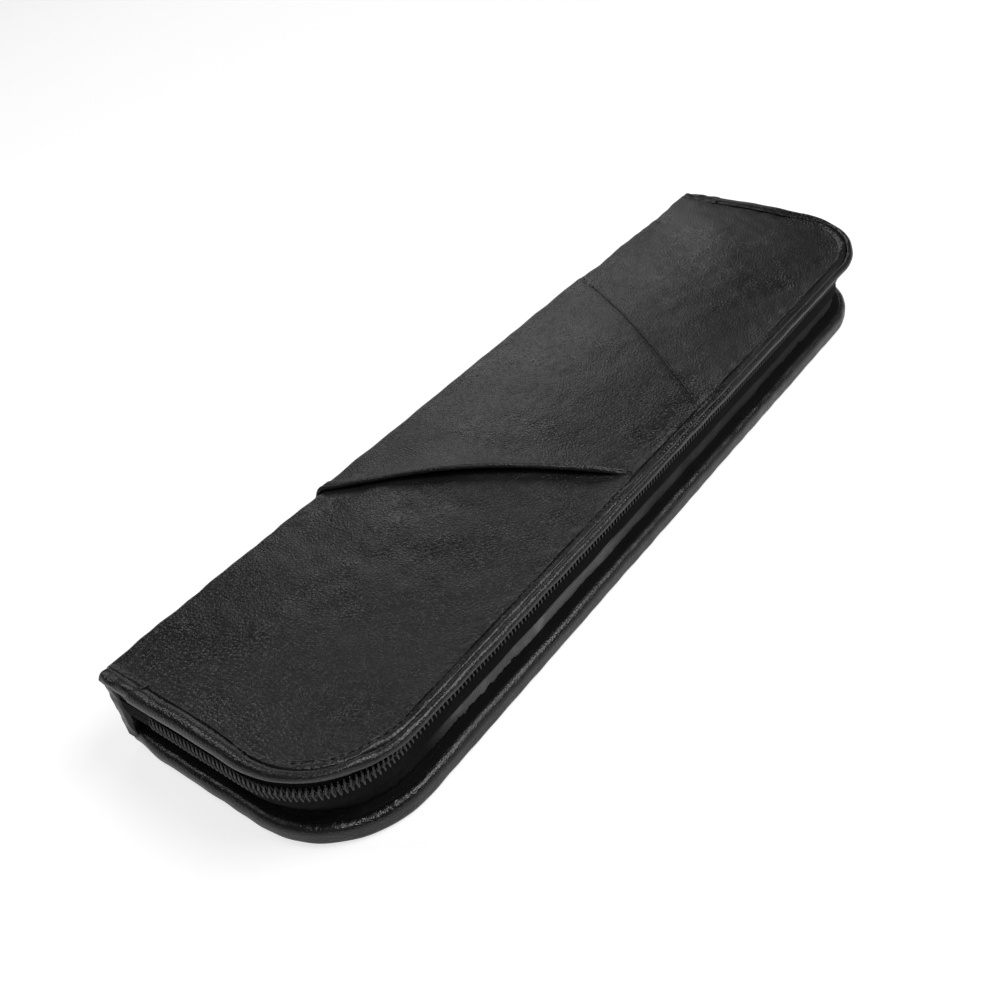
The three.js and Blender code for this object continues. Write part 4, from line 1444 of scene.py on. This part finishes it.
@dataclass(frozen=True)
class ZipChain:
    """Both rows of the coil zipper: one wire each, wound in flat turns that nest in the other row's."""

    shop: Workshop
    pitch: float = 0.0024
    wire: float = 0.00046
    width: float = 0.0036
    overlap: float = 0.0007
    inset: float = 0.0050
    thickness: float = 0.0021
    turn_steps: int = 14
    sides: int = 6
    turn_lean: float = 0.16
    head_swell: float = 0.22
    open_gap: float = 0.0009
    open_length: float = 0.0442
    opening_run: float = 0.006
    lid_setback: float = 0.0148

    def row(self, side: Side) -> bpy.types.Object:
        """One row of the zip.

        At turn t the wire is at height (1 - cos 2 pi t) / 2 from the chain line and at depth sin 2 pi t.

        Args:
            side: The cover whose tape carries the row.

        Returns:
            The piece.
        """
        form = self.shop.form
        start = form.binding_start_x
        first, last = -form.rim.station_at(start), form.rim.station_at(start + side.pick(0.0, self.lid_setback))
        turns = int((last - first) / self.pitch)
        t = np.arange(turns * self.turn_steps + 1) / self.turn_steps + side.pick(0.0, 0.5)
        station = first + t * self.pitch + self.turn_lean * self.pitch * np.sin(2 * math.pi * t)
        wave = (1 - np.cos(2 * math.pi * t)) / 2
        run_start = form.rim.station_at(start + self.open_length)
        apart = eased(station, run_start, run_start + self.opening_run)
        tip = -self.overlap + (self.overlap + self.open_gap + self.wire) * apart
        height = form.chain_height(station) + side.value * (tip + (self.width - tip) * wave)
        half = self.thickness / 2 - self.wire
        bulge = form.near_bulge(station, form.chain_z)
        depth = self.inset - bulge + self.thickness / 2 - half * np.sin(2 * math.pi * t)
        centre = form.rim.point(station, depth, height)
        tangent = unit(np.gradient(centre, axis=0))
        ahead = form.rim.point(station + 0.001, depth, height) - form.rim.point(station - 0.001, depth, height)
        beside = unit(np.cross(tangent, ahead))
        over = np.cross(beside, tangent)
        turn = np.linspace(0, 2 * math.pi, self.sides, endpoint=False)
        head = 1 + self.head_swell * np.clip(1 - 2.2 * wave, 0, 1)
        ring = np.cos(turn)[None, :, None] * beside[:, None] + np.sin(turn)[None, :, None] * over[:, None]
        draft = MeshDraft().add_tube(centre[:, None] + ring * (self.wire * head)[:, None, None], t * self.pitch)
        name, nodes = f"{side.body}_coil_wire", [f"{side.body}_zip_coil"]
        return self.shop.riding(side.body, draft, name, Finish.COIL, nodes, SOFT_EDGE_DEGREES)

    def build(self) -> list[bpy.types.Object]:
        """Makes both rows."""
        return [self.row(side) for side in Side]


@dataclass(frozen=True)
class ZipCloth:
    """The two zip tapes, the grey webbing of the wall, and the black cloth over the ledge under it."""

    shop: Workshop
    tape_inset: float = 0.0074
    tape_thickness: float = 0.0008
    tape_hang: float = 0.0018
    tape_slope: float = 0.0012
    web_thickness: float = 0.0012
    web_bulge: float = 0.0013
    web_fade: float = 0.0012
    ledge_line: tuple[tuple[float, float], ...] = (
        (0.0037, 0.0100), (0.0041, 0.0106), (0.0066, 0.0106), (0.0077, 0.0110), (0.0078, 0.0121),
    )
    ledge_thickness: float = 0.00035
    ledge_columns: int = 22
    fray: tuple[tuple[float, float], ...] = ((0.006, 0.0005), (0.0012, 0.0003))
    fuzz: float = 0.00012
    step: float = 0.003

    def strip(self, side: Side, name: str, finish: Finish, node: str, outer: Array, heights: Array,
              thickness: float, stations: Array) -> bpy.types.Object:
        """One upright strip of cloth.

        Args:
            side: The cover that it is sewn to.
            name: Name of the piece.
            finish: Its finish.
            node: The CAD node that it replaces.
            outer: Inset of its outer face, a row a station and a column a height.
            heights: Its heights.
            thickness: Its thickness.
            stations: Its stations.

        Returns:
            The piece.
        """
        form = self.shop.form
        outer = outer - form.near_bulge(stations[:, None], heights[None, :])
        front = form.rim.point(stations[:, None], outer, heights[None, :])
        back = form.rim.point(stations[:, None], outer + thickness, heights[None, :])
        draft = MeshDraft().add_slab(front, back, stations, heights)
        piece = self.shop.riding(side.body, draft, name, finish, [node])
        height = float(heights[-1] - heights[0])
        if height > LEAST_SHEET_SIDE:
            f"{side.body}_bead"
        return piece

    def tape(self, side: Side, stations: Array) -> bpy.types.Object:
        """A zip tape. The base's hangs lower and leans out towards its lower edge."""
        node = f"{side.body}_zip_tape"
        low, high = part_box(node)
        columns = np.linspace(0, 1, 12)
        heights = np.linspace(low.z - side.pick(self.tape_hang, 0), high.z, len(columns))
        wave = Ripple(0.03, side.pick(95, 94)).at(stations[:, None], columns[None, :] * 0.01) * 0.00012
        outer = self.tape_inset - side.pick(self.tape_slope, 0) * (1 - columns[None, :]) + wave
        name = f"{side.body}_tape_cloth"
        return self.strip(side, name, Finish.TAPE, node, outer, heights, self.tape_thickness, stations)

    def webbing(self, stations: Array) -> bpy.types.Object:
        """The webbing, which bellies out under the tape, most along the middle of the long edge."""
        form = self.shop.form
        low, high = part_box("base_gusset")
        under_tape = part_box("base_zip_tape")[0].z - self.tape_hang
        middle = 1 - eased(np.abs(stations), form.rim.centre_y * 0.35, form.rim.centre_y * 1.1)
        heights = np.linspace(low.z, high.z, 16)
        below = 1 - eased(heights, under_tape - self.web_fade, under_tape)
        arch = np.sin(math.pi * np.clip((heights - low.z) / (under_tape - low.z), 0, 1)) * below
        sag = self.web_bulge * arch[None, :] * (0.35 + 0.65 * middle[:, None])
        wave = Ripple(0.02, 95, (1, 0.6)).at(stations[:, None], heights[None, :]) * 0.00015 * below[None, :]
        outer = form.gusset_inset - sag + wave
        name, thickness = "base_wall_webbing", self.web_thickness
        return self.strip(Side.BASE, name, Finish.WEB, "base_gusset", outer, heights, thickness, stations)

    def ledge(self, stations: Array) -> bpy.types.Object:
        """The black cloth over the ledge between the base's bead and the wall, with a frayed upper edge.

        Its section goes from the bead's crown along the ledge and up the wall, and two ripples fray its top.
        """
        form = self.shop.form
        stations = np.linspace(stations[0], stations[-1], 4 * len(stations))
        corners = np.array(self.ledge_line)
        run = lengths_along(corners)
        places = np.linspace(0, run[-1], self.ledge_columns)
        inset, height = (np.interp(places, run, corners[:, k])[None, :] for k in (0, 1))
        waves = [Ripple(wave, 97 + k).at(stations, 0.0) * size for k, (wave, size) in enumerate(self.fray)]
        top = np.linspace(0, 1, self.ledge_columns)[None, :] ** 6
        height = height + sum(waves)[:, None] * top
        fuzz = Ripple(0.0011, 99).at(stations[:, None], places[None, :]) * self.fuzz
        inset = inset + fuzz - form.near_bulge(stations[:, None], height)
        front = form.rim.point(stations[:, None], inset, height + fuzz)
        thickness = self.ledge_thickness
        back = form.rim.point(stations[:, None], inset + thickness, height - thickness)
        draft = MeshDraft().add_slab(front, back, stations, places)
        return self.shop.riding("base", draft, "base_ledge_cloth", Finish.TAPE, sharp_degrees=80)

    def build(self) -> list[bpy.types.Object]:
        """Makes the tapes, the webbing and the ledge's cloth."""
        stations = self.shop.form.rim.stations(self.shop.form.stack_x, self.step)
        tapes = [self.tape(side, stations) for side in Side]
        return [*tapes, self.webbing(stations), self.ledge(stations)]


@dataclass(frozen=True)
class SpineEnds:
    """The leather that closes the ends of the spine, and the slim strips over the lid's ends beside it."""

    shop: Workshop
    wall: float = 0.001
    foot: float = 0.004
    edge_round: float = 0.0018
    column: float = 0.0011
    ripple: float = 0.00016
    squeeze: float = 0.72
    strip_middle: float = 0.0062

    def channel(self, node: str, side: float) -> bpy.types.Object:
        """The folded leather over one end of the spine's skin, board and lining.

        Args:
            node: The CAD node that it replaces.
            side: -1 at the near end, 1 at the far one.

        Returns:
            The piece.
        """
        low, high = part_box(node)
        wall, r = self.wall, self.edge_round
        end = high.y if side > 0 else -low.y
        start = end - (high.y - low.y)
        foot = start + self.foot
        turn = np.linspace(math.pi, QUARTER, 8)
        outer = [(low.x, start), (low.x, start + self.foot / 2), (low.x, foot)]
        for centre_x, angles in ((low.x + r, turn), (high.x - r, turn - QUARTER)):
            outer += [(centre_x + r * math.cos(a), end - r + r * math.sin(a)) for a in angles]
        outer += [(high.x, foot), (high.x, start)]
        inner = [(high.x - wall, start), (high.x - wall, foot), (high.x - wall, end - wall)]
        inner += [(low.x + wall, end - wall), (low.x + wall, foot), (low.x + wall, start)]
        section = np.array(outer + inner)
        heights = np.linspace(low.z, high.z, 26)
        points = grid_points(section[None, :, 0], side * section[None, :, 1], heights[:, None])
        around = np.arange(len(section) + 1) * self.column
        wave = Ripple(0.008, 101 if side > 0 else 102).at(heights[:, None], around[None, :-1]) * self.ripple
        shown = np.arange(len(section)) < len(outer)
        points = points + outward_normals(points) * (wave * shown[None, :])[..., None]
        draft = MeshDraft().add_tube(points, heights, around)
        return self.shop.riding("spine", draft, node.replace("binding", "wrap"), Finish.BINDING, [node], 50)

    def strip(self, node: str, side: float) -> bpy.types.Object:
        """The slim strip over the lid's short edge, from the bead's end to past the fold.

        Args:
            node: The CAD node that it replaces.
            side: -1 at the near end, 1 at the far one.

        Returns:
            The piece.
        """
        form = self.shop.form
        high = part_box(node)[1]
        binding = Binding(self.shop, Side.LID, end_radius=0.0034, depth=0.0090, tuck=0.0006, groove=0.0002)
        x = np.linspace(form.fold_x - 0.0004, high.x + 0.0002, 36)
        inset, depth, takes = binding.section(np.ones(len(x)), np.zeros(len(x)))
        out = form.near_lean * 0.8 if side < 0 else 0.0
        y = side * (form.rim.half_length + out - 0.0004 - inset)
        z = form.height - depth - form.drop(x)[:, None] * (0.25 + 0.75 * takes)
        end = eased(x, form.fold_x - 0.0018, form.fold_x + 0.0010)[:, None]
        middle_z = form.height - self.strip_middle
        z = middle_z + (z - middle_z) * (self.squeeze + (1 - self.squeeze) * end)
        points = grid_points(x[:, None], y, z)
        around = np.arange(inset.shape[1] + 1) * SECTION_COLUMN
        wave = Ripple(0.007, 111 if side > 0 else 112).at(x[:, None], around[None, :-1])
        points = points + outward_normals(points) * (wave * self.ripple)[..., None]
        draft = MeshDraft().add_tube(points, x, around)
        name = node.replace("binding", "strip")
        piece = self.shop.make(draft, name, Finish.BINDING, [node], SOFT_EDGE_DEGREES)
        return self.shop.across_fold(piece, Side.LID)

    def build(self) -> list[bpy.types.Object]:
        """Makes the four pieces."""
        made = []
        for end, side in (("near", -1.0), ("far", 1.0)):
            made += [self.channel(f"spine_end_binding_{end}", side), self.strip(f"lid_end_binding_{end}", side)]
        return made


@dataclass(frozen=True)
class InnerCloth:
    """The linings of both covers and the spine, and the cloth that bridges the two folds inside."""

    shop: Workshop
    step: float = 0.004
    puff: float = 0.00012
    spine_puff: float = 0.0001
    sink: float = 0.0001
    bridge_thickness: float = 0.0006
    bridge_sink: float = 0.0003
    bridge_inset: float = 0.0105

    def cover(self, side: Side) -> bpy.types.Object:
        """The lining of a cover: a sheet with a soft pad under it, flat at its edges."""
        form = self.shop.form
        node = f"{side.body}_lining"
        low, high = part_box(node)
        runs = form.runs(form.stack_end_x, form.seam_z, side, self.step)
        runs = np.concatenate([[form.stack_x - form.fold_x], runs[runs >= form.stack_x - form.fold_x]])
        x = form.fold_x + runs
        reach = form.half_length_at(x)
        y = np.linspace(-1, 1, 120)[:, None] * reach[None, :]
        wide = np.broadcast_to(x, y.shape)
        face, back = side.pick((high.z, low.z), (low.z, high.z))
        flat_edge = 1 - eased(form.share(wide, y), 0.8, 0.95)
        puff = Ripple(0.02, side.pick(120, 122)).at(wide, y) * self.puff * flat_edge
        top = grid_points(wide, y, face - side.value * (puff - self.sink))
        draft = MeshDraft().add_slab(top, grid_points(wide, y, back), y, wide)
        piece = self.shop.riding(side.body, draft, f"{node}_cloth", Finish.LINING, [node])
        f"{side.body}_board"
        return piece

    def spine(self) -> bpy.types.Object:
        """The lining of the spine."""
        low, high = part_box("spine_lining")
        y, z = np.linspace(low.y, high.y, 100), np.linspace(low.z, high.z, 12)
        puff = Ripple(0.02, 131).at(y[:, None], z[None, :]) * self.spine_puff
        top = grid_points(high.x + puff - self.sink, y[:, None], z[None, :])
        draft = MeshDraft().add_slab(top, grid_points(low.x, y[:, None], z[None, :]), y, z)
        piece = self.shop.riding("spine", draft, "spine_lining_cloth", Finish.LINING, ["spine_lining"])
        return piece

    def bridge(self, side: Side) -> bpy.types.Object:
        """The cloth inside a fold: an arc about the fold's axis from the spine's lining to the cover's."""
        form = self.shop.form
        fold_z = form.fold_z(side)
        low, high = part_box("spine_lining")
        spine_up = side.value * (side.pick(low.z, high.z) - fold_z)
        cover_up = side.value * (side.pick(form.floor_z, form.lining_z) - fold_z)
        ends = (Vector((high.x - form.fold_x, 0, spine_up)), Vector((form.stack_x - form.fold_x, 0, cover_up)))
        (first_turn, first_reach), (last_turn, last_reach) = ((math.atan2(v.z, v.x), v.length) for v in ends)
        share = np.linspace(-0.25, 1.25, 16)
        turn = first_turn + (last_turn - first_turn) * share
        reach = first_reach + (last_reach - first_reach) * np.clip(share, 0, 1) - self.bridge_sink
        half = form.rim.half_length - self.bridge_inset
        y = np.linspace(-half, half, 80)

        def face(radius: Array) -> Array:
            """Points at a radius from the fold's axis."""
            x = form.fold_x + np.cos(turn) * radius
            return grid_points(x[None, :], y[:, None], (fold_z + side.value * np.sin(turn) * radius)[None, :])

        draft = MeshDraft().add_slab(face(reach), face(reach - self.bridge_thickness), y, turn * self.step)
        piece = self.shop.make(draft, f"{side.fold}_lining", Finish.LINING)
        on_spine, on_cover = ((form.fold_x + v.x, 0.0, fold_z + side.value * v.z) for v in ends)
        return self.shop.blended(piece, side, on_spine, on_cover)

    def build(self) -> list[bpy.types.Object]:
        """Makes the linings and the bridges."""
        covers = [self.cover(side) for side in Side]
        return [*covers, self.spine(), self.bridge(Side.LID), self.bridge(Side.BASE)]


@dataclass(frozen=True)
class ElasticBand:
    """A ribbed elastic band sewn down between its loops."""

    shop: Workshop
    node: str
    loops: int = 3
    foot: float = 0.003
    thickness: float = 0.0012
    sag: float = 0.04
    stitch_margin: float = 0.002
    stitch_apart: float = 0.0007
    columns: int = 14

    def build(self) -> list[bpy.types.Object]:
        """Makes the band and the stitches of its feet."""
        low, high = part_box(self.node)
        half = (high.x - low.x) / 2
        pitch = (2 * half - self.foot) / self.loops
        rise = high.z - low.z - self.thickness
        x = np.linspace(-half, half, 48 * self.loops)
        phase = (x + half - self.foot) / pitch
        inside = (phase - np.floor(phase)) * pitch
        share = np.clip(inside / (pitch - self.foot) * 2 - 1, -1, 1)
        arch = np.where(phase >= 0, np.sqrt(np.clip(1 - share**2, 0, 1)) ** 0.8, 0) * rise
        normal = unit(np.stack([-np.gradient(arch), np.gradient(x)], 1))
        width = np.linspace(low.y, high.y, self.columns)
        level = 1 - self.sag * (2 * (width - low.y) / (high.y - low.y) - 1) ** 2

        def face(offset: float) -> Array:
            """The band's face at an offset from its underside."""
            lift = (np.maximum(normal[:, 1], 0.2) * offset)[:, None]
            z = low.z + arch[:, None] * level[None, :] + lift
            return grid_points((x + normal[:, 0] * offset)[:, None], width[None, :], z)

        run = lengths_along(np.stack([x, arch], 1))
        draft = MeshDraft().add_slab(face(self.thickness * 0.9), face(0.00005), run, width)
        name, nodes = f"{self.node}_band", [self.node]
        piece = self.shop.riding("base", draft, name, Finish.ELASTIC, nodes, SOFT_EDGE_DEGREES)
        sewn = MeshDraft()
        thread_y = np.linspace(low.y + self.stitch_margin, high.y - self.stitch_margin, 12)
        for k in range(self.loops + 1):
            foot_x = -half + self.foot / 2 + k * pitch
            for dx in (-self.stitch_apart, self.stitch_apart):
                thread = grid_points(foot_x + dx, thread_y, low.z + self.thickness)
                StitchRow(pitch=0.0024, length=0.0018).add_to(sewn, thread, np.array([0.0, 0.0, 1.0]))
        return [piece, self.shop.riding("base", sewn, f"{self.node}_stitches", Finish.TAPE)]


@dataclass(frozen=True)
class InnerPocket:
    """A soft flat pocket on a lining, sewn down on three sides, with a hemmed mouth."""

    shop: Workshop
    node: str
    side: Side
    mouth_first: bool
    flange: float = 0.003
    thickness: float = 0.0011
    hem: float = 0.0004
    hem_span: tuple[float, float] = (0.007, 0.0085)
    closing_run: float = 0.02
    softness: float = 0.0003
    mouth_margin: float = 0.002

    def build(self) -> list[bpy.types.Object]:
        """Makes the pocket and the stitches of its edge."""
        low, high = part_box(self.node)
        side, body = self.side, self.side.body
        inward = -side.value
        floor = side.pick(low.z, high.z)
        rise = high.z - low.z - self.thickness
        half = (high.x - low.x) / 2
        length = high.y - low.y
        x = half * np.sin(np.linspace(-QUARTER, QUARTER, 64))
        from_end = length - length * (1 - np.cos(np.linspace(0, QUARTER, 70)))[::-1]
        y = low.y + (length - from_end) if self.mouth_first else low.y + from_end
        wide, along = np.meshgrid(x, from_end, indexing="xy")
        puff = (1 - np.clip(np.abs(wide) / (half - self.flange), 0, 1) ** 4) ** 0.55
        opened = np.clip((along - self.flange) / self.closing_run, 0, 1)
        closed = np.sqrt(np.clip(1 - (1 - opened) ** 2, 0, 1))
        soft = Ripple(0.03, 141).at(wide, along) * self.softness
        raised = np.maximum(rise * puff * closed + soft * puff * closed, 0)
        hem = self.hem * (1 - eased(length - along, *self.hem_span))
        upper = floor + inward * (raised + self.thickness - 0.0003 + hem * 0.5)
        lower = floor + inward * np.maximum(raised, 0.00005)
        top, under = (grid_points(wide, y[:, None], z) for z in (upper, lower))
        draft = MeshDraft().add_slab(top, under, along, wide)
        name, nodes = f"{self.node}_cloth", [self.node]
        piece = self.shop.riding(body, draft, name, Finish.LINING, nodes, SOFT_EDGE_DEGREES)
        inset = self.flange / 2
        end_y = high.y - inset if self.mouth_first else low.y + inset
        mouth_y = low.y + self.mouth_margin if self.mouth_first else high.y - self.mouth_margin
        left, right = -half + inset, half - inset
        places = ((left, mouth_y), (left, end_y), (right, end_y), (right, mouth_y))
        corners = np.array([[*place, floor + inward * (self.thickness - 0.0002)] for place in places])
        sewn = MeshDraft()
        for a, b in zip(corners[:-1], corners[1:]):
            up = np.array([0.0, 0.0, inward])
            StitchRow(pitch=0.0035, length=0.0026).add_to(sewn, np.stack([a, b]), up)
        return [piece, self.shop.riding(body, sewn, f"{self.node}_stitches", Finish.ELASTIC)]


@dataclass(frozen=True)
class Lamp:
    """A soft rectangular lamp that points at the case."""

    name: str
    place: tuple[float, float, float]
    size: tuple[float, float]
    power: float
    target: tuple[float, float, float] = (0, 0, 0.03)

    def hang(self) -> None:
        """Adds the lamp to the scene."""
        data = bpy.data.lights.new(self.name, "AREA")
        data.shape, data.energy = "RECTANGLE", self.power
        data.size, data.size_y = self.size
        lamp = bpy.data.objects.new(self.name, data)
        lamp.location = self.place
        lamp.rotation_mode = "QUATERNION"
        lamp.rotation_quaternion = (Vector(self.place) - Vector(self.target)).to_track_quat("Z", "Y")
        bpy.context.scene.collection.objects.link(lamp)


@dataclass(frozen=True)
class Studio:
    """Camera, floor, backdrop and lamps."""

    camera_place: tuple[float, float, float] = (0.2814, -0.3655, 0.3621)
    azimuth: float = 42.107
    elevation: float = 38.684
    roll: float = -8.957
    lens: float = 40.26
    sensor: float = 36.0
    floor_sides: int = 96
    floor_profile: tuple[tuple[float, float], ...] = (
        (0.0001, 0.0), (1.0, 0.0), (2.0, 0.0), (2.25, 0.08), (2.4, 0.30), (2.45, 0.6), (2.45, 0.95),
    )
    floor_under: float = 0.0002
    floor_grey: float = 0.50
    upper_grey: float = 0.30
    mirrored_share: float = 0.55
    floor_lift: float = 0.66
    upper_lift: float = 1.4
    world_level: float = 0.03
    lamps: tuple[Lamp, ...] = (
        Lamp("window_lamp", (-0.99, 1.02, 0.88), (1.05, 0.70), 3.6),
        Lamp("key_lamp", (0.75, 0.45, 1.35), (0.9, 0.9), 16),
        Lamp("left_lamp", (-0.88, -0.43, 1.26), (0.6, 0.6), 4.5),
        Lamp("front_lamp", (0.9, -0.9, 1.6), (0.5, 0.5), 9),
    )

    def camera(self) -> None:
        """Sets the camera where the photo was taken from, turned and rolled as it was."""
        a, e, roll = (math.radians(v) for v in (self.azimuth, self.elevation, self.roll))
        back = Vector((math.sin(a) * math.cos(e), -math.cos(a) * math.cos(e), math.sin(e)))
        right = Vector((math.cos(a), math.sin(a), 0))
        up = back.cross(right)
        image_right = right * math.cos(roll) + up * math.sin(roll)
        image_up = up * math.cos(roll) - right * math.sin(roll)
        data = bpy.data.cameras.new("photo_camera")
        data.lens, data.sensor_width = self.lens, self.sensor
        data.clip_start, data.clip_end = 0.01, 50
        camera = bpy.data.objects.new("photo_camera", data)
        turned = Matrix((image_right, image_up, back)).transposed().to_4x4()
        camera.matrix_world = Matrix.Translation(self.camera_place) @ turned
        bpy.context.scene.collection.objects.link(camera)
        bpy.context.scene.camera = camera

    def floor(self) -> None:
        """A wide pale floor that turns up into a low backdrop all round."""
        count, rings = self.floor_sides, len(self.floor_profile)
        turn = np.linspace(0, 2 * math.pi, count + 1)[:-1]
        radii, heights = (np.array(column)[:, None] for column in zip(*self.floor_profile))
        points = grid_points(np.cos(turn) * radii, np.sin(turn) * radii, heights - self.floor_under)
        i, j = (k.ravel() for k in np.meshgrid(np.arange(rings - 1), np.arange(count), indexing="ij"))
        after = (j + 1) % count
        faces = np.stack([i * count + j, i * count + after, (i + 1) * count + after, (i + 1) * count + j], 1)
        mesh = bpy.data.meshes.new("studio_floor")
        mesh.from_pydata(points.reshape(-1, 3).tolist(), [], faces[:, ::-1].tolist() + [list(range(count))])
        mesh.polygons.foreach_set("use_smooth", np.ones(len(mesh.polygons), bool))
        mesh.materials.append(self.floor_material())
        floor = bpy.data.objects.new("studio_floor", mesh)
        bpy.context.scene.collection.objects.link(floor)

    def floor_material(self) -> bpy.types.Material:
        """A matt pale material that the camera and mirrored rays see lighter than the lamps make it."""
        material = bpy.data.materials.new("studio_white")
        material.use_nodes = True
        tree = material.node_tree
        tree.nodes.clear()
        board = NodeBoard(tree)
        paths = board.add("ShaderNodeLightPath").outputs
        mirrored = board.math("MAXIMUM", paths["Is Glossy Ray"], paths["Is Transmission Ray"])
        mirrored = board.times(mirrored, self.mirrored_share)
        place = board.add("ShaderNodeTexCoord").outputs["Object"]
        height = board.add("ShaderNodeSeparateXYZ", {"Vector": place}).outputs["Z"]
        raised = board.span(height, 0.05, 0.6)
        low = board.times(board.math("SUBTRACT", 1.0, raised), mirrored)
        direct = board.times(paths["Is Camera Ray"], board.span(height, 0.0, 0.5, 1.0, self.upper_lift))
        seen = board.times(board.math("MAXIMUM", low, direct), self.floor_lift)
        tone = board.blend(raised, (self.floor_grey,) * 3 + (1,), (self.upper_grey,) * 3 + (1,))
        both = board.add("ShaderNodeAddShader")
        glow = board.add("ShaderNodeEmission", {"Strength": seen})
        matt = board.add("ShaderNodeBsdfDiffuse", {"Color": tone})
        for part, socket in zip((glow, matt), both.inputs):
            tree.links.new(part.outputs[0], socket)
        output = board.add("ShaderNodeOutputMaterial")
        tree.links.new(both.outputs[0], output.inputs["Surface"])
        return material

    def build(self) -> None:
        """Sets the studio up."""
        scene = bpy.context.scene
        scene.view_settings.view_transform = "Standard"
        scene.world = bpy.data.worlds.new("studio")
        scene.world.use_nodes = True
        background = scene.world.node_tree.nodes["Background"].inputs
        background["Color"].default_value = (1, 1, 1, 1)
        background["Strength"].default_value = self.world_level
        self.camera()
        self.floor()
        for lamp in self.lamps:
            lamp.hang()


@dataclass(frozen=True)
class FrameNodes:
    """The CAD nodes that stay in sight: the boards, the slider and its pull."""

    nodes: dict[str, bpy.types.Object]
    paints: dict[Finish, bpy.types.Material]
    boards: tuple[str, ...] = ("base_board", "lid_board", "spine_board")
    metal: tuple[str, ...] = ("slider_body", "pull_tab")
    weld: float = 0.00001
    bevel: float = 0.00022
    bevel_degrees: float = 40.0

    def build(self) -> list[bpy.types.Object]:
        """Gives each its material, and softens the edges of the slider and its pull."""
        for name in self.boards + self.metal:
            node, finish = self.nodes[name], Finish.METAL if name in self.metal else Finish.BOARD
            node.data.materials.clear()
            node.data.materials.append(self.paints[finish])
            if finish is Finish.METAL:
                node.modifiers.new("weld", "WELD").merge_threshold = self.weld
                bevel = node.modifiers.new("round", "BEVEL")
                bevel.width, bevel.segments, bevel.limit_method = self.bevel, 2, "ANGLE"
                bevel.angle_limit = math.radians(self.bevel_degrees)
        return [self.nodes[name] for name in self.boards + self.metal]


def main() -> None:
    """Builds the sub-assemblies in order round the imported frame, and reports each piece."""
    logging.basicConfig(level=logging.INFO, format="%(name)s: %(message)s")
    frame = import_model()
    Studio().build()
    paints = Paintbox().materials
    shop = Workshop(CaseForm.from_frame(), paints)
    parts: list[SubAssembly] = [
        FrameNodes(frame["nodes"], paints),
        CoverPad(shop, Side.BASE),
        CoverPad(shop, Side.LID),
        PocketPanel(shop),
        Binding(shop, Side.BASE),
        Binding(shop, Side.LID),
        ZipChain(shop),
        ZipCloth(shop),
        SpineEnds(shop),
        InnerCloth(shop),
        ElasticBand(shop, "handle_loops"),
        ElasticBand(shop, "blade_loops"),
        InnerPocket(shop, "tip_pocket", Side.BASE, mouth_first=True),
        InnerPocket(shop, "lid_slip_pocket", Side.LID, mouth_first=False),
    ]
    for part in parts:
        for piece in part.build():
            LOG.info("%s: %s, %d faces", type(part).__name__, piece.name, len(piece.data.polygons))


if __name__ == "__main__":
    main()
